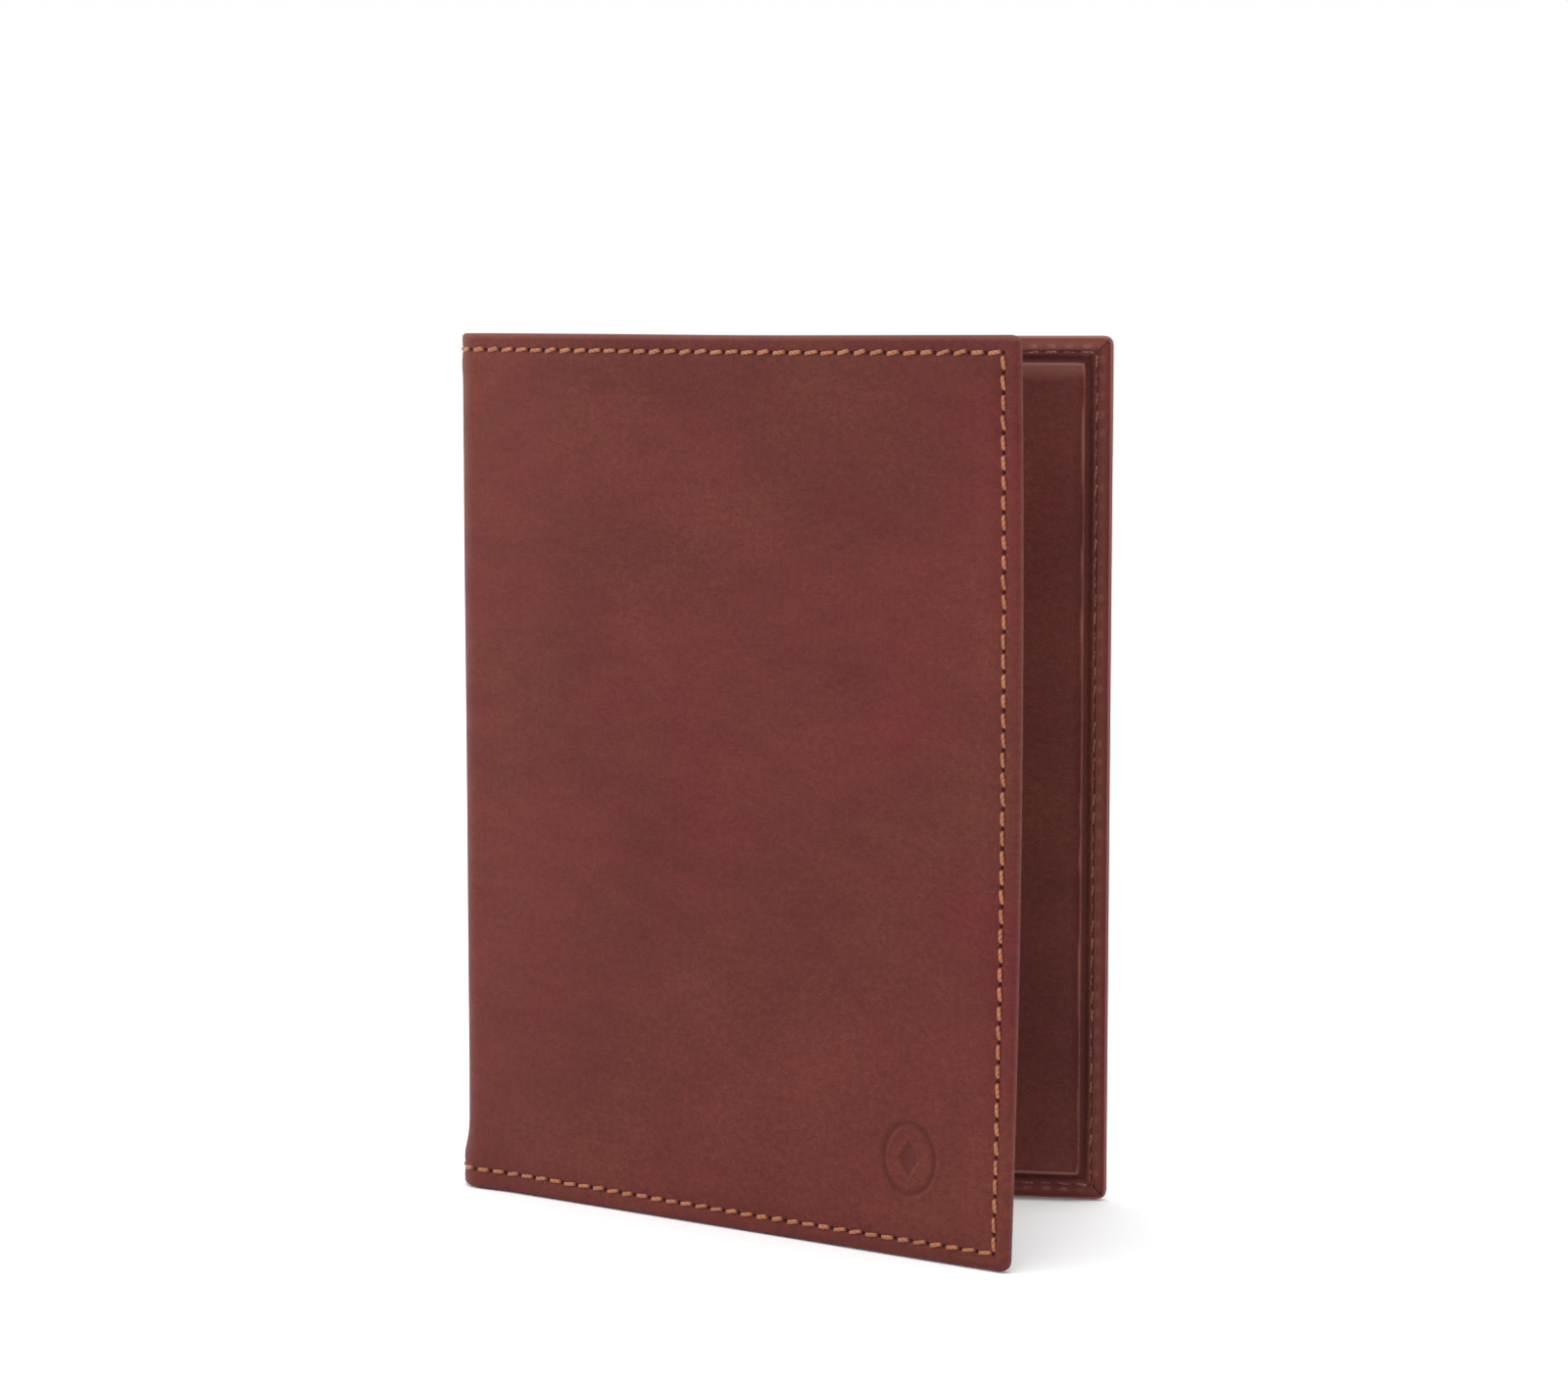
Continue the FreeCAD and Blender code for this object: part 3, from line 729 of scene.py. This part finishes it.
def stitch_bar(name, width, thickness, length):
    """One stitch along x, its belly up +z, at the origin."""
    bpy.ops.mesh.primitive_cylinder_add(vertices=12, radius=0.5, depth=1, end_fill_type="NGON",
                                        rotation=(0, math.pi / 2, 0))
    bar = bpy.context.active_object
    bar.name = name
    bpy.ops.object.transform_apply(location=False, rotation=True, scale=False)
    edit(bar)
    pick(bar, "EDGE", lambda middle, edge: abs(edge.verts[0].co.x - edge.verts[1].co.x) > 0.5)
    bpy.ops.mesh.subdivide(number_cuts=STITCH_STEPS - 1)
    close_edit(bar)
    layer = bar.data.uv_layers.active
    for loop in bar.data.loops:
        x, y, z = bar.data.vertices[loop.vertex_index].co
        layer.data[loop.index].uv = (x, math.atan2(z, y) / math.tau)
    layer.name = "Strand"
    for vertex in bar.data.vertices:
        x, y, z = vertex.co
        ends = abs(2 * x)
        waist = 1 - PLY_WAIST + PLY_WAIST * abs(math.cos(math.atan2(z, y) - math.tau * PLY_TURNS * x))
        slim = (1 - END_SLIM * ends ** 5) * waist
        sink = END_SINK * ends ** 7
        vertex.co = (x * length, y * width * slim, (z * slim + BELLY - sink) * thickness)
    return bar


def sew(name, bar, places):
    """Copies of one stitch at each (middle, along, outward, girth), joined. The length of along
    says how long the copy is, with 1 for the stitch as it was made."""
    copies = []
    for middle, along, outward, girth in places:
        copy = bpy.data.objects.new(name, bar.data.copy())
        bpy.context.scene.collection.objects.link(copy)
        across = outward.cross(along).normalized() * girth
        turn = Matrix((along, across, outward)).transposed().to_4x4()
        copy.data.transform(Matrix.Translation(middle) @ turn)
        copies.append(copy)
    bpy.ops.object.select_all(action="DESELECT")
    for copy in copies:
        copy.select_set(True)
    bpy.context.view_layer.objects.active = copies[0]
    bpy.ops.object.join()
    piece = bpy.context.active_object
    piece.name = name
    piece.data.name = name
    smooth(piece, 60)
    return piece


def thread_material(name, light, middle, dark):
    """Two twisted plies: slanting grooves, painted highlights on the crowns, painted shade in the valleys, a
    few stray fibres.
    """
    made = Nodes(name, middle, 0.6)
    place = made.place("Strand", scale=(2 * PLY_TURNS, -2.0, 1))
    split = made.add("ShaderNodeSeparateXYZ")
    made.join(place, split.inputs["Vector"])
    twist = made.plus(split.outputs["X"], split.outputs["Y"])
    ply = made.sums("SINE", made.times(twist, math.tau))
    lint = made.noise(made.place(), 2600, 3, 0.6)
    patches = made.noise(made.place(), 420, 2, 0.5)
    value = made.sums("MULTIPLY_ADD", ply, 0.14, made.sums("MULTIPLY_ADD", lint, 0.5, 0.25))
    # The ramp paints shade into the valleys between the plies and highlights onto their crowns.
    colour = made.ramp(value, ((0.18, dark), (0.5, middle), (0.8, light)))
    colour = made.shade(colour, patches, 0.25, 0.75, 0.86, 1.12)
    return made.finish(colour, None, made.bump(value, 0.5, 0.12 * MM))


def seam_place(side, s, z, along, depth, length, slant):
    """Middle, direction, face and girth of a stitch, for sew(). along is its way on the pattern."""
    step = 0.4 * MM
    at = standing(s, depth, z, side)
    way = standing(s + along[0] * step, depth, z + along[1] * step, side)
    back = standing(s - along[0] * step, depth, z - along[1] * step, side)
    outward = (standing(s, depth - step, z, side) - at).normalized()
    turned = Matrix.Rotation(slant, 3, outward)
    return at, turned @ (way - back) * (length / (2 * step)), outward, (2 - length) ** 1.5


def rim_places(side, level_of, slants, seed=3):
    """Places of the rim seam's stitches on one half, with each stitch's own small error."""
    dice = random.Random(seed)
    places = []
    for row, z in enumerate((SEAM_INSET, height - SEAM_INSET)):
        for i in range(HALF_STITCHES):
            s = (i + 0.5) * stitch_pitch
            slant = slants[row] + math.radians(dice.uniform(-6, 6))
            off = dice.uniform(-0.06, 0.06) * MM
            length = dice.uniform(0.90, 1.06)
            places.append(seam_place(side, s, z + off, (1, 0), level_of(s, z), length, slant))
    for i in range(UPRIGHT_STITCHES):
        z = SEAM_INSET + (i + 0.5) * upright_pitch
        slant = slants[2] + math.radians(dice.uniform(-5, 5))
        off = dice.uniform(-0.06, 0.06) * MM
        length = dice.uniform(0.92, 1.05)
        depth = level_of(seam_corner, z)
        places.append(seam_place(side, seam_corner + off, z, (0, 1), depth, length, slant))
    return places


outer_thread = thread_material("outer_thread", srgb(179, 113, 73), srgb(153, 93, 59), srgb(96, 50, 31))
bar = stitch_bar("stitch", THREAD_WIDTH, THREAD_HEIGHT, STITCH_LENGTH)
for side, turn, hidden in (("back", 1, ("back_outer_stitches",)),
                           ("front", -1, ("front_outer_stitches", "spine_outer_stitches"))):
    slants = [math.radians(a) * turn for a in (-9, -11, -6)]
    seam = sew("rim_thread_" + side, bar, rim_places(
        side, lambda s, z: THREAD_SUNK - hem_flare(s, z), slants))
    seam.data.materials.append(outer_thread)
    bend_over_fold(seam)
    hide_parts(*hidden)


# ---- Stiffener boards and spine stay ----
# Bonded leather board glued inside each cover, and a strip of woven stay tape down the spine.
# They keep the shape that the parts' drawing gives them and are hidden once the leather is turned in.

def board_material():
    made = Nodes("leather_board", srgb(150, 122, 92), 0.85)
    fleck = made.noise(made.place(), 900, 4, 0.7)
    colour = made.ramp(fleck, (
        (0.3, srgb(118, 92, 66)), (0.5, srgb(150, 122, 92)), (0.7, srgb(176, 150, 118))))
    return made.finish(colour, None, made.bump(fleck, 0.4, 0.1 * MM))


TWILL_THREADS = 4200           # to the metre
SLANT_RATE = 2.2               # radians for each thread, of the slanting wave and of the upright one
WARP_RATE = 2.9


def cloth_material(name, light, dark, uv=None, way=1):
    """Fine twill: two sets of threads that pass over each other along a slanting line."""
    made = Nodes(name, light, 0.78)
    threads = TWILL_THREADS * PATTERN_UNIT if uv else TWILL_THREADS
    split = made.add("ShaderNodeSeparateXYZ")
    made.join(made.place(uv, scale=(way, 1, 1)), split.inputs["Vector"])
    across = split.outputs["X"]
    up = split.outputs["Y"] if uv else split.outputs["Z"]
    twill = made.sums("SINE", made.times(made.plus(across, up), threads * SLANT_RATE))
    warp = made.sums("SINE", made.times(across, threads * WARP_RATE))
    value = made.sums("MULTIPLY_ADD", twill, 0.24, made.sums("MULTIPLY_ADD", warp, 0.10, 0.5))
    dust = made.noise(made.place(uv), 60 if uv else 600, 3, 0.6)
    colour = made.ramp(value, ((0.2, dark), (0.8, light)))
    colour = made.shade(colour, dust, 0.3, 0.7, 0.88, 1.1)
    made.shader.inputs["Sheen Weight"].default_value = 0.06
    made.shader.inputs["Specular IOR Level"].default_value = 0.2
    return made.finish(colour, None, made.bump(value, 0.35, 0.1 * MM))


def repaint(nodes, material):
    """Gives pieces that keep the drawing's shape their material."""
    for node in nodes:
        frame["nodes"][node].data.materials.clear()
        frame["nodes"][node].data.materials.append(material)


repaint(("back_board", "front_board"), board_material())
repaint(("spine_stay",), cloth_material("stay_tape", srgb(120, 100, 84), srgb(86, 70, 58)))


# ---- Lining ----
# Fine dark brown twill glued over the boards and down the inside of the spine. Its cut edges lie
# under the turned-in leather. It shows between the mouths of the pockets and the spine.

LINING_DEPTH = 1.42 * MM
LINING = 0.2 * MM
LINING_INSET = HEM_WIDTH - 0.6 * MM
RIPPLE = 0.05 * MM             # over the spine and the folds, where nothing holds the cloth flat


def lining(side):
    piece = flat_grid("lining_" + side, 0, half_width - LINING_INSET, LINING_INSET,
                      height - LINING_INSET, LINING_DEPTH, columns=90, rows=60)
    mark_pattern(piece)
    for vertex in piece.data.vertices:
        s, n, z = vertex.co
        ripple = math.sin(z / (7 * MM)) * math.cos(s / (1.9 * MM))
        vertex.co.y = n + RIPPLE * ripple * share(s, bend_end + 6 * MM, bend_end)
    turn_inside_out(piece)
    thicken(piece, LINING, offset=1)
    smooth(piece)
    stand_up(piece, side)
    return piece


for side, hidden in (("back", ("back_lining", "spine_lining")), ("front", ("front_lining",))):
    cloth = lining(side)
    cloth.data.materials.append(cloth_material(
        "lining_cloth_" + side, srgb(92, 54, 42), srgb(62, 34, 26), uv=PATTERN,
        way=1 if side == "back" else -1))
    bend_over_fold(cloth)
    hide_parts(*hidden)


# ---- Passport pocket ----
# One piece of the same leather, split thinner and left matter. Its field is pressed up over a plate
# to make room for the book, and its flange is sewn down round three sides. The mouth faces the spine.

POCKET_MOUTH = 12.0 * MM - fold_run + bend_end       # on the pattern
FLANGE_INSET = 2.02 * MM
FLANGE_END = 3.7 * MM          # the flange lies outside this distance from the rim
FLANGE_CORNER = 2.6 * MM
FIELD_END = 4.3 * MM           # and the raised field inside this one
FIELD_INSET = 4.75 * MM
FIELD_TOP = 3.5 * MM
FIELD_CROWN = 0.16 * MM        # the field stands higher away from its rim
MOUTH_CREASE = 0.14 * MM
POCKET_LEATHER = 0.6 * MM


def field_marks(made, colour, rough):
    """Polished leather with a painted highlight along the raised field's edge, a painted sheen below its
    top, and painted shade in the pressed channel outside it.
    """
    s, z = pattern_axes(made)
    to_rim = rim_value(made, s, z)
    # Strength of the painted highlight along the field's edge: patchy, and strongest near the bottom and the
    # top, where the rims catch the light.
    highlight_strength = made.fit(made.noise(made.place(PATTERN), 11, 1, 0.4), 0.45, 0.75, 0.0, 0.6)
    foot = made.fit(z, 4.0 * MM, 6.5 * MM, 0.75, 0.0)
    top_highlight = made.fit(z, height - 6.5 * MM, height - 4.4 * MM, 0.0, 0.45)
    highlight_strength = made.most(highlight_strength, made.most(foot, top_highlight))
    edge = made.line(made.away(to_rim, 4.62 * MM), 0.10 * MM, 0.34 * MM)
    # Painted shade in the pressed channel between the raised field and the stitches.
    channel = made.line(made.away(to_rim, 3.72 * MM), 0.25 * MM, 0.62 * MM)
    # Painted sheen on the curved top of the field, just below its top edge, where light from above catches
    # it.
    top_sheen = made.times(made.fit(z, height - 7.5 * MM, height - 4.9 * MM, 0.0, 0.42),
                      made.fit(to_rim, 4.2 * MM, 4.5 * MM))
    for mask, tone in ((made.times(channel, 0.62), srgb(54, 20, 16)),
                       (made.times(made.times(edge, highlight_strength), 0.8), srgb(146, 96, 84)),
                       (top_sheen, srgb(142, 92, 80))):
        colour = made.tint(colour, mask, tone)
    rough = made.plus(rough, made.times(channel, 0.3))
    return colour, made.minus(rough, made.times(edge, 0.12))


POCKET_TONES = (srgb(91, 44, 35), srgb(87, 39, 33), srgb(85, 35, 33))
POCKET_GLOSS = 0.44
pocket_leather = leather_material("pocket_leather", *POCKET_TONES, marks=field_marks, gloss=POCKET_GLOSS)


def pocket_profile():
    """(inset, depth) rings from the raised field's rim down to the sewn flange."""
    return [(inset * MM, depth * MM) for inset, depth in (
        (4.6, 3.55), (4.45, 3.52), (4.34, 3.44), (4.26, 3.26), (4.21, 3.0), (4.17, 2.7), (4.10, 2.4),
        (3.98, 2.18), (3.8, 2.08), (3.55, 2.06), (3.3, 2.12), (3.1, 2.24), (2.9, 2.32), (2.75, 2.28),
        (2.6, 2.22), (2.4, 2.28), (2.2, 2.32), (2.1, 2.26), (2.02, 2.05))]


def soften_edges(piece, width, segments, near=lambda place: True):
    """Rounds the sharp edges whose two ends pass the test."""
    edit(piece)
    pick(piece, "EDGE", lambda middle, edge: edge.is_manifold and edge.calc_face_angle(0) > 1.0
         and near(edge.verts[0].co) and near(edge.verts[1].co))
    bpy.ops.mesh.bevel(offset=width, segments=segments)
    close_edit(piece)


def passport_pocket():
    low, high = FIELD_INSET, height - FIELD_INSET
    piece = flat_grid("passport_pocket", POCKET_MOUTH, half_width - FIELD_INSET, low, high,
                      FIELD_TOP, columns=66, rows=96)
    grow_rim(piece, half_width - FIELD_INSET, (low, high), pocket_profile(), half_width, (0, height),
             fixed_s=POCKET_MOUTH)
    mark_pattern(piece)
    for vertex in piece.data.vertices:
        s, n, z = vertex.co
        rim = rim_distance(s, z)
        s, z = round_corner(s, z, FLANGE_CORNER if rim < FLANGE_END else FIELD_INSET)
        if rim > FIELD_END:
            n -= FIELD_CROWN * ease(rim, 4.5 * MM, 13.5 * MM)
            n += 0.05 * MM * math.sin(s / (13 * MM)) * math.sin(z / (19 * MM) + 1)
            n -= MOUTH_CREASE * swell(s - POCKET_MOUTH, 1.9 * MM, 0.5 * MM)
            n += 0.05 * MM * swell(s - POCKET_MOUTH, 0.7 * MM, 0.5 * MM)
        if rim < FLANGE_END:
            n -= 0.22 * MM * swell(hole_distance(s, z), 0, 0.6 * MM)
            n += 0.14 * MM * swell(rim, 2.1 * MM, 0.4 * MM) * pucker(s, z)
        vertex.co = (s, n, z)
    turn_inside_out(piece)
    thicken(piece, POCKET_LEATHER)
    soften_edges(piece, 0.24 * MM, 3, lambda place: place.x < POCKET_MOUTH + 1e-5)
    smooth(piece, 50)
    stand_up(piece, "back")
    return piece


pocket = passport_pocket()
pocket.data.materials.append(pocket_leather)
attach(pocket, "back_cover")
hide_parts("passport_pocket_panel")

repaint(("passport_pocket_facing", "document_pocket_backing", "card_pocket_tail_1", "card_pocket_tail_2"),
        cloth_material("pocket_cloth", srgb(84, 54, 45), srgb(50, 30, 25)))


# ---- Card and document pockets ----
# On the front cover a leather panel closes the document pocket, whose mouth faces the spine. Three
# strips of leather are shingled down it as card pockets. Each has a creased line below its mouth.

CARD_LEATHER = 0.6 * MM
DOCUMENT_MOUTH = 10.5 * MM - fold_run + bend_end     # on the pattern
CARD_MOUTHS = (74.0 * MM, 60.0 * MM, 46.0 * MM)
CARD_STEP = CARD_MOUTHS[0] - CARD_MOUTHS[1]
CARD_OVERLAP = 3.0 * MM
CARD_TALL = CARD_STEP + CARD_OVERLAP
PANEL_LEVEL = 2.8 * MM         # depths of top faces, from the cover's face
CARD_FOOT_LEVEL = 3.1 * MM
CARD_MOUTH_LEVEL = 4.05 * MM
SIDE_SEAM = 2.0 * MM           # from the mouth's edge
SEAM_DIMPLE = 0.16 * MM        # at each needle hole of the two side seams
SEAM_TROUGH = 0.08 * MM
CARD_CREASE = 0.12 * MM
MOUTH_SAG = 0.25 * MM

card_leather = leather_material("card_leather", *POCKET_TONES, gloss=POCKET_GLOSS)


def side_hole_distance(s, z):
    return math.hypot(to_step(z - SEAM_INSET, upright_pitch), s - DOCUMENT_MOUTH - SIDE_SEAM)


def held_down(s):
    """1 at the sides, where the seams press the pockets flat, falling to 0 further in."""
    return 1 - ease(min(s - DOCUMENT_MOUTH, half_width - FLANGE_INSET - s), 0, 8 * MM)


def card_level(mouth):
    """Top face of a card pocket, which leans out to its mouth and lies on the one above at its sides."""
    rise = (CARD_MOUTH_LEVEL - CARD_FOOT_LEVEL) / CARD_TALL
    under = PANEL_LEVEL if mouth == CARD_MOUTHS[0] else CARD_FOOT_LEVEL

    def level(s, z):
        below = mouth - z
        free = CARD_FOOT_LEVEL + rise * max(CARD_TALL - below, 0)
        over = ease(below, CARD_OVERLAP + 3.5 * MM, CARD_OVERLAP)
        flat = CARD_FOOT_LEVEL + (under + CARD_LEATHER - CARD_FOOT_LEVEL) * over
        return free + (min(flat, free) - free) * held_down(s)
    return level


def inner_panel(name, z0, z1, level_of, rows, mouth=None):
    """A leather panel on the front cover's inside, whose top face is level_of(s, z) deep."""
    piece = flat_grid(name, DOCUMENT_MOUTH, half_width - FLANGE_INSET, z0, z1, 0, columns=124, rows=rows)
    mark_pattern(piece)
    for vertex in piece.data.vertices:
        s, n, z = vertex.co
        n = level_of(s, z)
        for distance in (hole_distance(s, z), side_hole_distance(s, z)):
            n -= SEAM_DIMPLE * swell(distance, 0, 0.6 * MM)
        for row in (DOCUMENT_MOUTH + SIDE_SEAM, seam_corner):
            n -= SEAM_TROUGH * swell(s, row, 0.6 * MM)
        if mouth:
            n -= CARD_CREASE * swell(z, mouth - 1.5 * MM, 0.35 * MM)
            z -= MOUTH_SAG * max(1 - (mouth - z) / (6 * MM), 0) * (1 - held_down(s))
        vertex.co = (s, n, z)
    turn_inside_out(piece)
    thicken(piece, CARD_LEATHER)
    soften_edges(piece, 0.16 * MM, 2)
    smooth(piece, 50)
    stand_up(piece, "front")
    piece.data.materials.append(card_leather)
    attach(piece, "front_cover")
    return piece


upper = inner_panel("document_pocket_panel", CARD_MOUTHS[0] - CARD_OVERLAP, height - FLANGE_INSET,
                    lambda s, z: PANEL_LEVEL, rows=92)
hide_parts("front_upper_panel")
for index, mouth in enumerate(CARD_MOUTHS):
    foot = mouth - CARD_TALL
    last = index == len(CARD_MOUTHS) - 1
    card = inner_panel("card_pocket_leather_%d" % (index + 1), FLANGE_INSET if last else foot, mouth,
                       card_level(mouth), 66 if last else 44, mouth)
    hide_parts("card_pocket_%d" % (index + 1))


# ---- Inside stitches ----
# The bobbin side of the rim seam and the two rows beside the pocket mouths, in brown thread close
# to the leather's colour. Pulled tight, it sinks into the softer pocket leather.

INNER_WIDTH = 0.50 * MM
INNER_HEIGHT = 0.36 * MM
INNER_SUNK = 0.08 * MM
FLANGE_LEVEL = 2.14 * MM
inner_thread = thread_material("inner_thread", srgb(142, 85, 66), srgb(113, 63, 49), srgb(66, 32, 25))
inner_bar = stitch_bar("inner_stitch", INNER_WIDTH, INNER_HEIGHT, STITCH_LENGTH)


def back_level(s, z):
    """Depth of the leather that the stitches lie on."""
    return FLANGE_LEVEL if s > POCKET_MOUTH + 1 * MM else EDGE_THICKNESS


def front_level(s, z):
    if s < DOCUMENT_MOUTH + 1 * MM:
        return EDGE_THICKNESS
    if z > CARD_MOUTHS[0]:
        return PANEL_LEVEL - INNER_SUNK
    for mouth in CARD_MOUTHS:
        if mouth >= z > mouth - CARD_STEP:
            return card_level(mouth)(s, z) - INNER_SUNK
    return card_level(CARD_MOUTHS[-1])(s, z) - INNER_SUNK


def sunk(s, z):
    """Some of the inner stitches are pulled deeper into the leather than others."""
    return 0.07 * MM * (1 + math.sin(s / (1.3 * MM) + z / (1.7 * MM)))


def inward(places):
    """The same places seen from the inside of the holder."""
    return [(at, along, -outward, girth) for at, along, outward, girth in places]


def column_places(side, s, count, inset, level_of, seed):
    """Places of an upright row beside a pocket's mouth."""
    dice = random.Random(seed)
    pitch = (height - 2 * inset) / count
    places = []
    for i in range(count):
        z = inset + (i + 0.5) * pitch
        length = dice.uniform(0.85, 0.97)
        slant = math.radians(dice.uniform(-7, 7))
        places.append(seam_place(side, s, z, (0, 1), level_of(s, z), length, slant))
    return places


for side, level, hidden in (("back", back_level, "back_inner_stitches"),
                            ("front", front_level, "front_inner_stitches")):
    places = rim_places(side, lambda s, z: level(s, z) - sunk(s, z), [0.10, -0.10, 0.12], seed=11)
    seam = sew("rim_thread_inside_" + side, inner_bar, inward(places))
    seam.data.materials.append(inner_thread)
    bend_over_fold(seam)
    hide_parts(hidden)

mouth_row = sew("passport_mouth_thread", inner_bar, inward(column_places(
    "back", POCKET_MOUTH + 1.9 * MM, 45, 5.5 * MM, lambda s, z: FIELD_TOP - 0.26 * MM, 5)))
side_row = sew("card_side_thread", inner_bar, inward(column_places(
    "front", DOCUMENT_MOUTH + SIDE_SEAM, UPRIGHT_STITCHES, SEAM_INSET, front_level, 6)))
for row, body, hidden in ((mouth_row, "back_cover", "passport_mouth_stitches"),
                          (side_row, "front_cover", "card_side_stitches")):
    row.data.materials.append(inner_thread)
    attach(row, body)
    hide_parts(hidden)

for master in (bar, inner_bar):
    bpy.data.objects.remove(master)


# ---- Floor, light and camera ----
# A plain pale table, one large soft lamp high on the left, a weaker one on the right, and a pale room all
# round.

bpy.ops.mesh.primitive_plane_add(size=8, location=(0, 0, -0.2 * MM))
table = bpy.context.active_object
table.name = "table"
paint = Nodes("table_paint", (0.9, 0.9, 0.9), 0.9)
clouds = paint.noise(paint.place(), 3, 2)
table.data.materials.append(paint.finish(paint.ramp(
    clouds, ((0.3, (0.88, 0.88, 0.88)), (0.7, (0.92, 0.92, 0.92))))))


def lamp(name, place, aim, size, power):
    bpy.ops.object.light_add(type="AREA", location=place)
    light = bpy.context.active_object
    light.name = name
    light.data.shape = "RECTANGLE"
    light.data.size, light.data.size_y = size
    light.data.energy = power
    light.rotation_euler = (Vector(aim) - Vector(place)).to_track_quat("-Z", "Y").to_euler()


lamp("key", place=(-0.9, -0.35, 0.8), aim=(0, 0, 0.09), size=(0.5, 0.5), power=2.6)
lamp("side", place=(0.9, -0.25, 0.35), aim=(0, 0, 0.07), size=(0.3, 0.6), power=0.9)
lamp("rim", place=(-0.9, 0.2, 0.35), aim=(0, 0, 0.07), size=(0.3, 0.6), power=2.0)
bpy.ops.object.light_add(type="SUN", location=(0, 0, 1.5), rotation=(math.radians(8), 0, 0))
skylight = bpy.context.active_object
skylight.name = "skylight"
skylight.data.energy = 1.3
skylight.data.angle = math.radians(30)

world = bpy.context.scene.world or bpy.data.worlds.new("room")
bpy.context.scene.world = world
world.use_nodes = True
sky = world.node_tree.nodes["Background"]
sky.inputs["Color"].default_value = (1, 1, 1, 1)
sky.inputs["Strength"].default_value = 1.0

CAMERA_PLACE = (0.092095, -0.551548, 0.138474)
CAMERA_AZIMUTH = math.radians(9.135)
CAMERA_DOWN = math.radians(5.504)
CAMERA_LENS = 82.47
SENSOR_WIDTH = 36
bpy.ops.object.camera_add(location=CAMERA_PLACE, rotation=(math.pi / 2 - CAMERA_DOWN, 0, CAMERA_AZIMUTH))
camera = bpy.context.active_object
camera.data.sensor_width = SENSOR_WIDTH
camera.data.lens = CAMERA_LENS
camera.data.clip_start = 0.01
bpy.context.scene.camera = camera
bpy.context.scene.view_settings.view_transform = "Standard"
